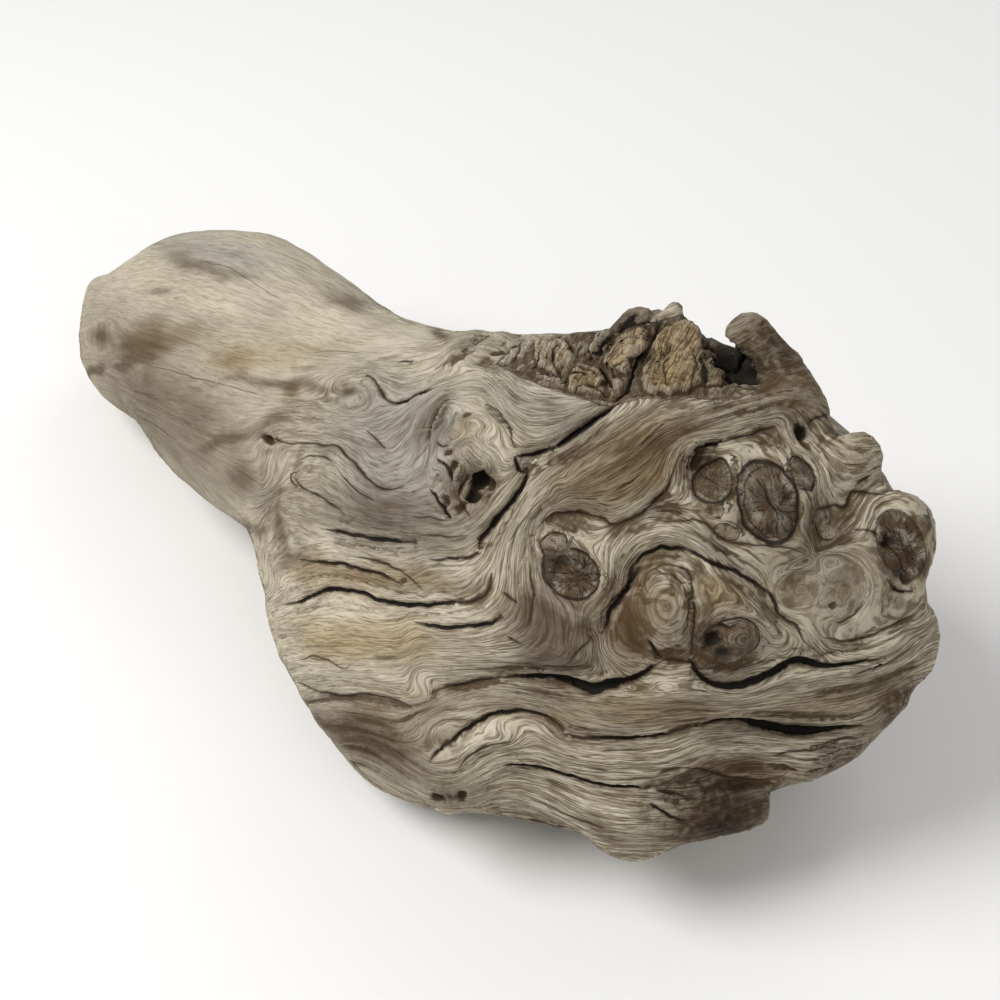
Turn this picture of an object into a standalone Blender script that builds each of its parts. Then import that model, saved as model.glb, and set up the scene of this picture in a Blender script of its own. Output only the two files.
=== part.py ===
"""A knotted piece of driftwood: a slim trunk end that swells into a burl with branch knots.

The log is one piece of wood, so it is one solid. It lies along X with the burl at +X and rests
on three low spots. Lengths in this file are in millimetres and are turned to metres at the end.
"""

import math

import bmesh
import bpy
import numpy as np
from mathutils import Vector, kdtree, noise
from mathutils.bvhtree import BVHTree

MM = 0.001

# The knotty face is described as it is seen from one viewpoint, in a picture 1000 pixels square.
PICTURE_SIDE = 1000
VIEW_AZIMUTH = math.radians(36)
VIEW_ELEVATION = math.radians(45)
VIEW_DISTANCE = 630.0
VIEW_TARGET = np.array([0.0, 0.0, 70.0])
FOCAL_PIXELS = 1666.7

# The trunk's middle line and its four half-breadths, one row for each station along X.
# Crest is the upper rear edge, face the side with the knots, hem the lower front edge, rear the back.
#    x     y    z  crest face hem rear
STATIONS = np.array([
    (-242, 30, 40, 0, 0, 0, 0),
    (-238, 29, 41, 1, 15, 22, 9),
    (-226, 27, 43, 8, 28, 36, 22),
    (-200, 24, 45, 36, 42, 45, 38),
    (-165, 17, 49, 55, 47, 44, 41),
    (-125, 9, 54, 58, 49, 50, 44),
    (-85, 0, 61, 55, 50, 51, 50),
    (-45, -3, 69, 53, 56, 89, 58),
    (-5, -5, 78, 61, 63, 113, 66),
    (35, -6, 84, 73, 68, 117, 72),
    (75, -1, 86, 76, 70, 102, 72),
    (112, 6, 84, 61, 64, 94, 64),
    (142, 12, 80, 41, 50, 62, 50),
    (160, 12, 74, 20, 30, 36, 30),
    (167, 10, 71, 0, 0, 0, 0),
], float)
CREST_WAY = np.array([0.0, 0.766, 0.643])
FACE_WAY = np.array([0.0, -0.643, 0.766])
BOXINESS = 2.25

SKIN_SEGMENTS = 220
SKIN_RINGS = 240
SKIN_VOXEL = 1.7
MOST_TRIANGLES = 11000

# How the shapes below fade out, as multiples of their own size.
SPUR_SOFTNESS = 1.5
SWELL_SPREAD = 1.6
PIT_SPREAD = 1.5
VALLEY_SPREAD = 1.8
CLEFT_SPREAD = 0.6
OVAL_THICKNESS = 1.5
END_TAPER = 3.0
ROUTE_STEP = 3.0
ROUTE_REACH = 30.0
FAR = 1000.0
OUTSIDE = 400.0


def view_axes():
    """Right, up and back of the viewpoint, as unit vectors."""
    sin_a, cos_a = math.sin(VIEW_AZIMUTH), math.cos(VIEW_AZIMUTH)
    sin_e, cos_e = math.sin(VIEW_ELEVATION), math.cos(VIEW_ELEVATION)
    right = np.array([cos_a, sin_a, 0.0])
    back = np.array([sin_a * cos_e, -cos_a * cos_e, sin_e])
    return right, np.cross(back, right), back


RIGHT, UP, BACK = view_axes()
EYE = VIEW_TARGET + VIEW_DISTANCE * BACK


# Spurs, knobs and lobes that stand out of the burl's outline. Each is pulled from a root pixel
# towards a tip pixel, as far as the picture shows, over a round patch. A high edge gives a blunt end.
#              root        tip       radius edge
SPURS = {
    "round_knob": ((634, 348), (638, 306), 13, 3.0),
    "thin_spike": ((672, 342), (676, 292), 6, 2.0),
    "slab_peak": ((690, 358), (692, 328), 12, 2.0),
    "big_lobe": ((766, 388), (763, 318), 19, 3.0),
    "lobe_shoulder": ((780, 386), (786, 330), 12, 2.5),
    "side_lobe": ((796, 420), (819, 390), 14, 3.0),
    "blunt_spur": ((844, 484), (868, 444), 12, 4.5),
    "knot_spur": ((886, 550), (925, 524), 19, 3.5),
    "end_lobe": ((896, 648), (936, 664), 23, 3.0),
    "end_corner": ((872, 706), (898, 716), 16, 3.0),
    "slab_corner": ((796, 762), (814, 780), 12, 4.0),
    "lower_corner": ((722, 800), (752, 834), 18, 4.5),
    "hem_nodule": ((444, 784), (444, 814), 16, 2.5),
    "hem_notch": ((508, 818), (502, 788), 19, 2.5),
    "hem_lobe": ((646, 828), (650, 854), 26, 2.5),
}

# Broad swellings and hollows of the face, as pixel, radius and height along the surface's normal.
SWELLINGS = {
    "whorl_boss": ((468, 462), 26, 6.0),
    "twin_knot_boss": ((570, 560), 28, 5.0),
    "eye_dome": ((665, 605), 24, 8.0),
    "dark_knot_boss": ((738, 650), 22, 9.0),
    "oval_knot_boss": ((772, 498), 20, 4.0),
    "nodule": ((846, 592), 15, 4.5),
    "left_boss": ((318, 470), 22, 4.0),
    "upper_fold": ((640, 440), 30, 4.0),
    "lower_slab": ((620, 705), 26, 3.0),
    "lower_right_slab": ((830, 690), 24, 5.0),
    "hem_slab": ((640, 820), 22, 4.0),
    "trunk_top": ((230, 285), 28, 3.0),
    "trunk_lower_lobe": ((150, 410), 24, 3.0),
    "trunk_hollow": ((190, 352), 20, -4.5),
    "waist_hollow": ((300, 440), 20, -3.0),
    "shoulder_hollow": ((410, 420), 14, -3.5),
    "end_hollow": ((838, 520), 15, -4.0),
    "dark_corner": ((742, 790), 18, -7.0),
    "left_hem_hollow": ((372, 700), 18, -3.0),
}

# Pits rotted out of the wood: centre, half-length, half-width, direction in the picture, depth.
PITS = {
    "whorl_hole": ((478, 482), 8, 5.5, -30, 9.0),
    "whorl_edge_pit": ((434, 428), 10, 3.5, 60, 6.0),
    "knob_hollow": ((634, 334), 8, 4.0, 30, 8.0),
    "lobe_hollow": ((738, 362), 14, 6.0, -38, 12.0),
    "crest_gap": ((618, 352), 11, 3.5, 52, 7.0),
    "crest_gap_lower": ((648, 372), 14, 3.5, 56, 7.0),
    "crest_dimple": ((535, 356), 8, 4.0, 10, 3.5),
    "knot_hollow": ((702, 462), 6, 4.0, 50, 4.5),
    "twin_knot_pit": ((566, 568), 6, 4.5, 0, 5.0),
    "dark_knot_pit": ((712, 642), 7, 5.5, 60, 5.0),
    "spur_knot_pit": ((898, 540), 9, 7.0, -60, 4.5),
    "end_nick": ((806, 436), 8, 4.0, -60, 4.5),
    "left_pit": ((270, 440), 7, 4.0, -20, 4.0),
    "rot_pocket": ((700, 770), 12, 6.0, 0, 4.0),
    "crack_mouth": ((570, 688), 17, 4.5, -8, 6.0),
    "slab_mouth": ((790, 728), 22, 4.5, -4, 8.0),
}

# Branch knots: a dished or domed oval inside a raised lip, with a moat round it.
#             centre, half-length, half-width, direction, dome, lip
KNOTS = {
    "oval_knot": ((770, 499), 15.5, 10.5, -75, 1.5, 2.2),
    "upper_knot": ((802, 471), 7.5, 5.5, -60, 1.0, 1.6),
    "hollow_knot": ((713, 480), 10.0, 9.0, -60, -0.5, 2.2),
    "small_round_knot": ((552, 541), 5.5, 5.0, 0, 3.0, 0.8),
    "twin_knot": ((580, 576), 12.0, 9.5, -25, -2.5, 2.4),
    "great_eye": ((666, 606), 19.0, 15.0, -80, 4.0, 1.6),
    "dark_knot": ((742, 640), 8.5, 8.0, 0, 4.0, 1.0),
    "spur_knot": ((902, 548), 14.0, 9.0, -70, -2.0, 2.2),
    "trunk_eye": ((101, 337), 9.0, 8.0, 80, -1.5, 2.0),
}

# Rings round every knot, as distance from its middle, width and depth.
KNOT_LIP = (1.22, 0.25)
KNOT_GROOVE = (0.92, 0.13, 1.8)
KNOT_MOAT = (1.75, 0.28, 1.2)

# Steps where the outer skin has broken away: route, drop on its left-hand side, and how far the drop reaches.
STEPS = {
    "broken_skin": ([(448, 346), (486, 362), (520, 375), (560, 386), (614, 404)], 3.5, 26.0),
    "plate_edge": ([(286, 602), (264, 548), (275, 500), (268, 430)], 2.5, 30.0),
    "end_plate": ([(876, 655), (866, 610), (866, 560)], 2.0, 22.0),
}
STEP_EDGE = 1.6

# Furrows between the folds of the wood: route in the picture, half-width of the valley, its
# depth, and the depth of the cleft along its floor.
FURROWS = {
    "upper_cleft": ([(622, 402), (596, 424), (566, 446), (534, 458), (520, 468), (512, 492), (494, 520),
                     (474, 548)], 6.0, 2.5, 5.5),
    "long_crack": ([(430, 700), (470, 688), (520, 680), (570, 688), (612, 690), (648, 676), (670, 660),
                    (700, 670), (722, 682), (760, 678), (800, 666), (850, 662)], 7.0, 3.0, 5.5),
    "slab_crack": ([(520, 712), (560, 734), (610, 738), (660, 736), (700, 722), (750, 724), (800, 730),
                    (868, 728)], 6.5, 2.5, 5.0),
    "hem_crack": ([(500, 765), (545, 769), (600, 784), (660, 788), (704, 786)], 6.0, 2.5, 3.5),
    "arched_fold": ([(424, 762), (450, 742), (486, 716), (520, 711), (556, 722)], 6.0, 2.5, 3.0),
    "left_fold": ([(284, 606), (330, 592), (380, 602), (440, 604), (478, 598), (490, 576)], 6.0, 2.5, 3.5),
    "short_fold": ([(410, 621), (450, 627), (482, 625), (502, 612)], 5.0, 1.5, 3.0),
    "upper_left_fold": ([(330, 528), (370, 536), (422, 541)], 5.0, 1.5, 2.5),
    "knot_wrap": ([(800, 420), (770, 434), (736, 444), (706, 462), (688, 484), (662, 510), (622, 521),
                   (592, 514), (560, 520), (545, 536)], 5.5, 2.0, 3.5),
    "eye_wrap": ([(664, 660), (640, 652), (614, 636), (616, 612), (632, 576), (656, 554), (690, 550),
                  (730, 572), (768, 594), (784, 620), (800, 640)], 5.5, 2.0, 3.5),
    "eye_right": ([(660, 566), (684, 576), (697, 606), (696, 636), (690, 658)], 4.0, 1.0, 2.5),
    "trunk_groove": ([(120, 380), (160, 364), (200, 350), (236, 356)], 7.0, 2.5, 1.0),
    "trunk_line": ([(168, 262), (230, 282), (290, 316), (340, 340)], 7.0, 2.0, 0.5),
    "waist_line": ([(235, 372), (290, 384), (340, 384), (380, 376)], 6.0, 1.5, 1.0),
    "shoulder_line": ([(430, 360), (400, 380), (384, 392), (362, 376)], 5.0, 1.0, 1.5),
    "left_hem_fold": ([(300, 700), (330, 694), (368, 700), (410, 706)], 6.0, 2.0, 1.5),
    "end_arc": ([(918, 620), (880, 640), (850, 642)], 5.0, 1.2, 1.5),
    "end_corner_fold": ([(934, 666), (900, 690), (870, 700), (820, 700)], 6.0, 2.0, 2.0),
}

# Folds, knots, stubs and swellings of the sides that the face hides, placed by x and by the angle round
# the trunk in degrees: 0 is the crest, 90 the face, 180 the hem and 270 the rear. They are invented.
HIDDEN_FURROWS = {
    "rear_long_fold": ([(-210, 300), (-140, 292), (-60, 300), (20, 286), (90, 296), (140, 310)],
                       7.0, 3.0, 4.0),
    "rear_low_fold": ([(-180, 256), (-100, 246), (-20, 262), (60, 248), (120, 252)], 7.0, 3.0, 4.5),
    "rear_high_fold": ([(-150, 326), (-90, 338), (-30, 330), (10, 340)], 6.0, 2.5, 3.5),
    "rear_end_fold": ([(70, 334), (96, 338), (124, 332), (146, 316)], 6.0, 2.5, 3.5),
    "rear_waist_fold": ([(-100, 318), (-60, 320), (-24, 312), (10, 306)], 5.0, 2.0, 3.0),
    "sole_fold": ([(-150, 222), (-70, 214), (0, 226), (70, 212), (130, 220)], 7.0, 2.5, 3.0),
    "sole_short_fold": ([(10, 198), (60, 192), (120, 200)], 6.0, 2.0, 2.5),
    "rear_knot_wrap": ([(4, 318), (20, 300), (46, 296), (72, 306), (80, 324)], 5.0, 1.5, 3.5),
}
HIDDEN_KNOTS = {
    "rear_knot": ((44, 320), 13.0, 10.0, 20, -2.5, 2.4),
    "rear_end_knot": ((116, 318), 9.0, 8.0, 0, 3.0, 1.8),
    "rear_small_knot": ((88, 300), 7.5, 6.5, 0, -2.0, 1.8),
    "rear_trunk_knot": ((-122, 308), 8.5, 7.0, 0, -2.0, 2.0),
    "rear_waist_knot": ((-40, 322), 7.0, 6.0, 0, 2.5, 1.4),
    "end_knot": ((150, 250), 8.0, 7.0, 0, 1.5, 1.6),
    "sole_knot": ((-30, 236), 8.0, 7.0, 0, 1.5, 1.2),
}
HIDDEN_SPURS = {
    "rear_stub": ((44, 320), 26, 12.0, 2.5),
    "rear_end_stub": ((116, 318), 19, 8.0, 2.5),
    "rear_small_stub": ((88, 300), 14, 4.0, 2.5),
    "rear_trunk_stub": ((-122, 308), 18, 6.0, 2.5),
    "end_stub": ((150, 250), 15, 4.0, 2.5),
    "rear_crest_lump": ((-6, 338), 24, 6.0, 2.5),
}
HIDDEN_SWELLINGS = {
    "rear_boss": ((52, 300), 34, 4.0),
    "rear_shoulder": ((-44, 312), 26, 5.0),
    "rear_hollow": ((4, 290), 22, -6.0),
    "rear_waist_hollow": ((-78, 300), 24, -5.0),
    "crest_rear_dip": ((84, 334), 18, -4.0),
    "rear_low_boss": ((30, 250), 24, 4.0),
    "rear_end_hollow": ((140, 300), 14, -4.0),
}

# Irregular growth over the whole skin: size of the lumps, height, and stretch along the trunk.
GROWTH = ((62.0, 3.6, 1.6), (26.0, 2.0, 2.2), (11.0, 0.7, 2.6))

# Torn wood along the crest: plates that overlap like a saw's teeth, with an uneven spacing.
TORN_CREST = [(470, 352), (540, 352), (600, 352), (650, 356), (710, 356)]
TORN_REACH = 30.0
TORN_PLATES = 8
TORN_STEP = 6.0
TORN_WANDER = (16.0, 0.9)
TORN_TOOTH = 1.5
TORN_BASE = 0.4

# The sole is worn flat and stands on three low spots.
SOLE_FROM = 18.0
SOLE_LOWEST = 2.6
FEET = ((74.0, -58.0), (46.0, 16.0), (-194.0, 24.0))
FOOT_RADIUS = 34.0
FOOT_DEPTH = 6.5
FOOT_PRESS = 0.8

WOOD_COLOUR = (0.40, 0.35, 0.27, 1.0)
WOOD_ROUGHNESS = 0.85


def clear_scene():
    for obj in list(bpy.data.objects):
        bpy.data.objects.remove(obj)


def spline_rows(rows, at):
    """Catmull-Rom rows through a table, read at fractional row numbers."""
    last = len(rows) - 1
    low = np.clip(np.floor(at).astype(int), 0, last - 1)
    t = (at - low)[:, None]
    before, first = rows[np.maximum(low - 1, 0)], rows[low]
    second, after = rows[low + 1], rows[np.minimum(low + 2, last)]
    return 0.5 * (2 * first + (second - before) * t + (2 * before - 5 * first + 4 * second - after) * t**2
                  + (3 * first - before - 3 * second + after) * t**3)


def skin_points(along, angle):
    """Points of the plain log, for places along it from 0 to 1 and angles from the crest to the face."""
    row = spline_rows(STATIONS, along * (len(STATIONS) - 1))
    crest, face, hem, rear = (np.maximum(row[:, i], 0) for i in (3, 4, 5, 6))
    power = 2 / BOXINESS
    across, out = np.cos(angle), np.sin(angle)
    across = np.sign(across) * np.abs(across) ** power * np.where(across > 0, crest, hem)
    out = np.sign(out) * np.abs(out) ** power * np.where(out > 0, face, rear)
    return row[:, :3] + across[:, None] * CREST_WAY + out[:, None] * FACE_WAY


def log_object():
    """The plain log: a sphere whose rings become the cross-sections."""
    bm = bmesh.new()
    bmesh.ops.create_uvsphere(bm, u_segments=SKIN_SEGMENTS, v_segments=SKIN_RINGS, radius=1)
    unit = np.array([v.co for v in bm.verts])
    along = np.arccos(np.clip(-unit[:, 2], -1, 1)) / math.pi
    points = skin_points(along, np.arctan2(unit[:, 1], unit[:, 0]))
    for vert, point in zip(bm.verts, points):
        vert.co = point
    bmesh.ops.recalc_face_normals(bm, faces=bm.faces)
    mesh = bpy.data.meshes.new("driftwood_log")
    bm.to_mesh(mesh)
    bm.free()
    log = bpy.data.objects.new("driftwood_log", mesh)
    bpy.context.scene.collection.objects.link(log)
    return log


def apply_modifiers(log):
    """The object's mesh as its modifiers leave it."""
    bpy.context.view_layer.update()
    evaluated = log.evaluated_get(bpy.context.evaluated_depsgraph_get())
    mesh = bpy.data.meshes.new_from_object(evaluated)
    log.modifiers.clear()
    log.data = mesh


def remesh(log, size):
    modifier = log.modifiers.new("even_skin", "REMESH")
    modifier.mode = "VOXEL"
    modifier.voxel_size = size
    apply_modifiers(log)


def coordinates(log):
    points = np.empty(len(log.data.vertices) * 3, np.float32)
    log.data.vertices.foreach_get("co", points)
    return points.reshape(-1, 3).astype(float)


def set_coordinates(log, points):
    log.data.vertices.foreach_set("co", points.astype(np.float32).ravel())
    log.data.update()


def normals(log):
    values = np.empty(len(log.data.vertices) * 3, np.float32)
    log.data.vertex_normals.foreach_get("vector", values)
    return values.reshape(-1, 3).astype(float)


def tree_of(log):
    return BVHTree.FromPolygons([v.co for v in log.data.vertices], [p.vertices for p in log.data.polygons])


def seen_point(tree, pixel):
    """The point and normal of the skin that the viewpoint sees at a pixel, or nearest to one just off it."""
    middle = PICTURE_SIDE / 2
    way = -BACK + RIGHT * (pixel[0] - middle) / FOCAL_PIXELS - UP * (pixel[1] - middle) / FOCAL_PIXELS
    hit, normal, _, _ = tree.ray_cast(Vector(EYE), Vector(way).normalized())
    if hit is None:
        hit, normal, _, _ = tree.find_nearest(Vector(EYE + way * VIEW_DISTANCE))
    return np.array(hit), np.array(normal)


def hidden_point(tree, place):
    """The point and normal of the skin at an x and an angle round the trunk in degrees."""
    x, angle = place[0], math.radians(place[1])
    centre = np.array([np.interp(x, STATIONS[:, 0], STATIONS[:, i]) for i in range(3)])
    way = CREST_WAY * math.cos(angle) + FACE_WAY * math.sin(angle)
    hit, normal, _, _ = tree.ray_cast(Vector(centre + OUTSIDE * way), Vector(-way))
    return np.array(hit), np.array(normal)


def route_points(tree, finder, route):
    """The skin's points along a smooth route through the given places, about a picture's 3 pixels apart."""
    route = np.array(route, float)
    steps = np.ceil(np.linalg.norm(np.diff(route, axis=0), axis=1) / ROUTE_STEP).astype(int)
    at = np.concatenate([i + np.arange(n) / n for i, n in enumerate(steps)] + [[len(route) - 1]])
    return np.array([finder(tree, place)[0] for place in spline_rows(route, at)])


def along_picture(normal, direction):
    """A unit vector in the skin's plane that lies at an angle in degrees in the picture."""
    angle = math.radians(direction)
    way = RIGHT * math.cos(angle) + UP * math.sin(angle)
    way = way - normal * way.dot(normal)
    return way / np.linalg.norm(way)


def oval_distance(points, centre, normal, direction, half_long, half_short):
    """Distance from a spot, 1 on the rim of an oval that lies on the skin."""
    long_way = along_picture(normal, direction)
    short_way = np.cross(normal, long_way)
    away = points - centre
    return np.sqrt((away @ long_way / half_long) ** 2 + (away @ short_way / half_short) ** 2
                   + (away @ normal / (OVAL_THICKNESS * half_long)) ** 2)


def nearest_on_route(points, route):
    """Each point's distance to a route, and its share of the way along it."""
    low, high = route.min(0) - ROUTE_REACH, route.max(0) + ROUTE_REACH
    box = ((points > low) & (points < high)).all(1)
    distance = np.full(len(points), FAR)
    share = np.zeros(len(points))
    gaps = np.linalg.norm(points[box][:, None] - route[None], axis=2)
    distance[box] = gaps.min(1)
    share[box] = gaps.argmin(1) / (len(route) - 1)
    return distance, share


def ring(ratio, where, width):
    """1 on a ring at one ratio, falling off over a width to both sides."""
    return np.exp(-(((ratio - where) / width) ** 2))


def bump(ratio):
    """1 at the middle and 0 from ratio 1 outwards, with soft ends."""
    return np.clip(1 - ratio**2, 0, 1) ** 2


def dome(points, centre, radius, edge):
    """1 at a centre and 0 from a radius outwards; a high edge gives a blunt top."""
    ratio = np.linalg.norm(points - centre, axis=1) / radius
    return np.clip(1 - ratio**edge, 0, 1)[:, None] ** SPUR_SOFTNESS


def end_taper(share):
    """Fades a route in and out at its two ends."""
    return np.clip(np.sin(share * math.pi) * END_TAPER, 0, 1)


def pull_spurs(log):
    tree = tree_of(log)
    points = coordinates(log)
    for root, tip, radius, edge in SPURS.values():
        centre, _ = seen_point(tree, root)
        scale = (EYE - centre).dot(BACK) / FOCAL_PIXELS
        pull = RIGHT * (tip[0] - root[0]) * scale - UP * (tip[1] - root[1]) * scale
        points += dome(points, centre, radius, edge) * pull
    set_coordinates(log, points)


def raise_stubs(log):
    """Blunt branch stubs on the hidden sides."""
    tree = tree_of(log)
    points = coordinates(log)
    for place, radius, height, edge in HIDDEN_SPURS.values():
        centre, normal = hidden_point(tree, place)
        points += dome(points, centre, radius, edge) * normal * height
    set_coordinates(log, points)


def swell(log, finder, swellings):
    tree = tree_of(log)
    points = coordinates(log)
    for place, radius, height in swellings.values():
        centre, normal = finder(tree, place)
        ratio = np.linalg.norm(points - centre, axis=1) / (SWELL_SPREAD * radius)
        points += bump(ratio)[:, None] * normal * height
    set_coordinates(log, points)


def carve_furrows(log, finder, furrows):
    tree = tree_of(log)
    points, outward = coordinates(log), normals(log)
    depth = np.zeros(len(points))
    for route, width, valley, cleft in furrows.values():
        distance, share = nearest_on_route(points, route_points(tree, finder, route))
        floor = valley * bump(distance / (VALLEY_SPREAD * width))
        floor += cleft * np.clip(1 - distance / (CLEFT_SPREAD * width), 0, 1)
        depth = np.maximum(depth, floor * end_taper(share))
    set_coordinates(log, points - outward * depth[:, None])


def carve_pits(log):
    tree = tree_of(log)
    points = coordinates(log)
    for pixel, half_long, half_short, direction, depth in PITS.values():
        centre, normal = seen_point(tree, pixel)
        inward = -(normal + BACK) / 2
        ratio = oval_distance(points, centre, normal, direction, half_long, half_short)
        points += bump(ratio / PIT_SPREAD)[:, None] * depth * inward
    set_coordinates(log, points)


def shape_knots(log, finder, knots):
    tree = tree_of(log)
    points = coordinates(log)
    for place, half_long, half_short, direction, rise, lip in knots.values():
        centre, normal = finder(tree, place)
        ratio = oval_distance(points, centre, normal, direction, half_long, half_short)
        height = rise * bump(ratio) + lip * ring(ratio, *KNOT_LIP)
        for where, width, depth in (KNOT_GROOVE, KNOT_MOAT):
            height -= depth * ring(ratio, where, width)
        points += height[:, None] * normal
    set_coordinates(log, points)


def cut_steps(log):
    """Lowers the skin on the left-hand side of each broken edge, as the viewpoint sees it."""
    tree = tree_of(log)
    points, outward = coordinates(log), normals(log)
    for route, drop, reach in STEPS.values():
        path = route_points(tree, seen_point, route)
        distance, share = nearest_on_route(points, path)
        nearest = np.round(share * (len(path) - 1)).astype(int)
        tangents = np.gradient(path, axis=0)
        side = np.cross(BACK, tangents[nearest])
        side /= np.linalg.norm(side, axis=1)[:, None]
        signed = ((points - path[nearest]) * side).sum(1)
        edge = np.clip(signed / STEP_EDGE + 0.5, 0, 1)
        points -= outward * (drop * edge * bump(distance / reach) * end_taper(share))[:, None]
    set_coordinates(log, points)


def grow_lumps(log):
    """Uneven growth everywhere, stretched along the trunk, and torn plates along the crest."""
    points, outward = coordinates(log), normals(log)
    rise = np.zeros(len(points))
    for size, height, stretch in GROWTH:
        scaled = points / (size * np.array([stretch, 1, 1]))
        rise += height * np.array([noise.noise(Vector(p)) for p in scaled])
    distance, share = nearest_on_route(points, route_points(tree_of(log), seen_point, TORN_CREST))
    size, amount = TORN_WANDER
    wander = np.array([noise.noise(Vector(p)) for p in points / size])
    tooth = (share * TORN_PLATES + amount * wander) % 1
    rise += TORN_STEP * (tooth**TORN_TOOTH - TORN_BASE) * bump(distance / TORN_REACH)
    set_coordinates(log, points + outward * rise[:, None])


def wear_sole(log):
    """Flattens the underside and lets three low spots down to z 0."""
    points = coordinates(log)
    room = SOLE_FROM - SOLE_LOWEST
    below = np.maximum(SOLE_FROM - points[:, 2], 0)
    points[:, 2] = np.where(below > 0, SOLE_FROM - room * np.tanh(below / room), points[:, 2])
    for x, y in FEET:
        ratio = np.hypot(points[:, 0] - x, points[:, 1] - y) / FOOT_RADIUS
        points[:, 2] -= np.where(points[:, 2] < SOLE_FROM, FOOT_DEPTH * bump(ratio), 0)
    points[:, 2] = np.maximum(points[:, 2], 0)
    set_coordinates(log, points)


def thin_out(log):
    """Fewer triangles, kept where the surface bends most."""
    triangles = sum(len(p.vertices) - 2 for p in log.data.polygons)
    modifier = log.modifiers.new("fewer_faces", "DECIMATE")
    modifier.ratio = MOST_TRIANGLES / triangles
    modifier.use_collapse_triangulate = True
    apply_modifiers(log)


def settle(log):
    """Lowers the log to z 0, presses its low spots flat, centres it over the origin and turns mm to metres."""
    points = coordinates(log)
    middle = (points.min(0) + points.max(0)) / 2
    middle[2] = points[:, 2].min()
    points[:, 2] = np.where(points[:, 2] < middle[2] + FOOT_PRESS, middle[2], points[:, 2])
    set_coordinates(log, (points - middle) * MM)
    print("moved to the origin by", np.round(-middle, 3), "mm")


def wood():
    material = bpy.data.materials.new("weathered_driftwood")
    material.use_nodes = True
    shader = material.node_tree.nodes["Principled BSDF"]
    shader.inputs["Base Color"].default_value = WOOD_COLOUR
    shader.inputs["Roughness"].default_value = WOOD_ROUGHNESS
    shader.inputs["Metallic"].default_value = 0.0
    return material


def main():
    clear_scene()
    log = log_object()
    pull_spurs(log)
    remesh(log, SKIN_VOXEL)
    raise_stubs(log)
    swell(log, seen_point, SWELLINGS)
    swell(log, hidden_point, HIDDEN_SWELLINGS)
    shape_knots(log, seen_point, KNOTS)
    shape_knots(log, hidden_point, HIDDEN_KNOTS)
    carve_furrows(log, seen_point, FURROWS)
    carve_furrows(log, hidden_point, HIDDEN_FURROWS)
    cut_steps(log)
    carve_pits(log)
    grow_lumps(log)
    remesh(log, SKIN_VOXEL)
    wear_sole(log)
    thin_out(log)
    settle(log)
    log.data.materials.clear()
    log.data.materials.append(wood())
    log.data.shade_smooth()


main()
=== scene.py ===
"""A weathered driftwood log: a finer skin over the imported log, its wood, and a plain pale studio."""

import math

import bmesh
import bpy
import numpy as np
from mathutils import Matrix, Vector, noise
from mathutils.bvhtree import BVHTree
from mathutils.kdtree import KDTree


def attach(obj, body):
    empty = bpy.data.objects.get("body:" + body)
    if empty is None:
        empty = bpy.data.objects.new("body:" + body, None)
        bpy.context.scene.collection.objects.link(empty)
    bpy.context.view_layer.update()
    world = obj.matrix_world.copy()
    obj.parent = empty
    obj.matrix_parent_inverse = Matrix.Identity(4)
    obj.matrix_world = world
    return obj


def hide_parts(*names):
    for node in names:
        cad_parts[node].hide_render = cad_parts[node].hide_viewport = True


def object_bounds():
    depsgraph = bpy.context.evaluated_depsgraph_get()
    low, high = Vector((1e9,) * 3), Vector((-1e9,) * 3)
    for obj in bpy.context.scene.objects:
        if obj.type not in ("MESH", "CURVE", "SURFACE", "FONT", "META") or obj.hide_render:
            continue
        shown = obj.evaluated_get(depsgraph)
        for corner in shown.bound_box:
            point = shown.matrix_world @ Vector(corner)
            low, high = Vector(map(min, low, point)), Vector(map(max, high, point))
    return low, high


bl_info = {
    "name": "Driftwood log",
    "version": (1, 0, 0),
    "blender": (4, 5, 0),
    "location": "View3D > Sidebar > Driftwood",
    "description": "Dresses the packed driftwood log in weathered wood with cracks, knots and grain",
    "category": "Object",
}

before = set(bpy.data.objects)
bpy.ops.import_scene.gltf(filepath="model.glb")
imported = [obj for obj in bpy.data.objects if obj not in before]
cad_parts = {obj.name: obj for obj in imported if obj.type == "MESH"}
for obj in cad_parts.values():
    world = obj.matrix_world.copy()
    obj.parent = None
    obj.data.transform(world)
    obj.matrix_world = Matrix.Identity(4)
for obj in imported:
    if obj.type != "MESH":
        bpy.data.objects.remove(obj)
CAD_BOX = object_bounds()

MM = 0.001

# The viewpoint, in millimetres. All pixels below are of a square picture of 1000 pixels a side, seen from it.
VIEW_AZIMUTH = math.radians(36)
VIEW_ELEVATION = math.radians(45)
VIEW_DISTANCE = 630.0
# The log stands this far from where its picture was worked out.
SHIFT = np.array([35.473, 12.782, 0.087])
VIEW_TARGET = np.array([0.0, 0.0, 70.0]) + SHIFT
LENS, SENSOR = 60.0, 36.0
FOCAL_PIXELS = 1666.7
PICTURE_MIDDLE = 500.0
PIXELS_PER_MM = 2.65
TRUNK_END = 262
RIGHT = np.array([math.cos(VIEW_AZIMUTH), math.sin(VIEW_AZIMUTH), 0.0])
BACK = np.array([
    math.sin(VIEW_AZIMUTH) * math.cos(VIEW_ELEVATION),
    -math.cos(VIEW_AZIMUTH) * math.cos(VIEW_ELEVATION),
    math.sin(VIEW_ELEVATION),
])
UP = np.cross(BACK, RIGHT)
EYE = VIEW_TARGET + VIEW_DISTANCE * BACK

# The middle line of the trunk, for places that the viewpoint doesn't see: x, y and z.
AXIS = np.array([
    (-242, 30, 40), (-200, 24, 45), (-165, 17, 49), (-125, 9, 54), (-85, 0, 61), (-45, -3, 69),
    (-5, -5, 78), (35, -6, 84), (75, -1, 86), (112, 6, 84), (142, 12, 80), (167, 10, 71),
], float)
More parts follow.
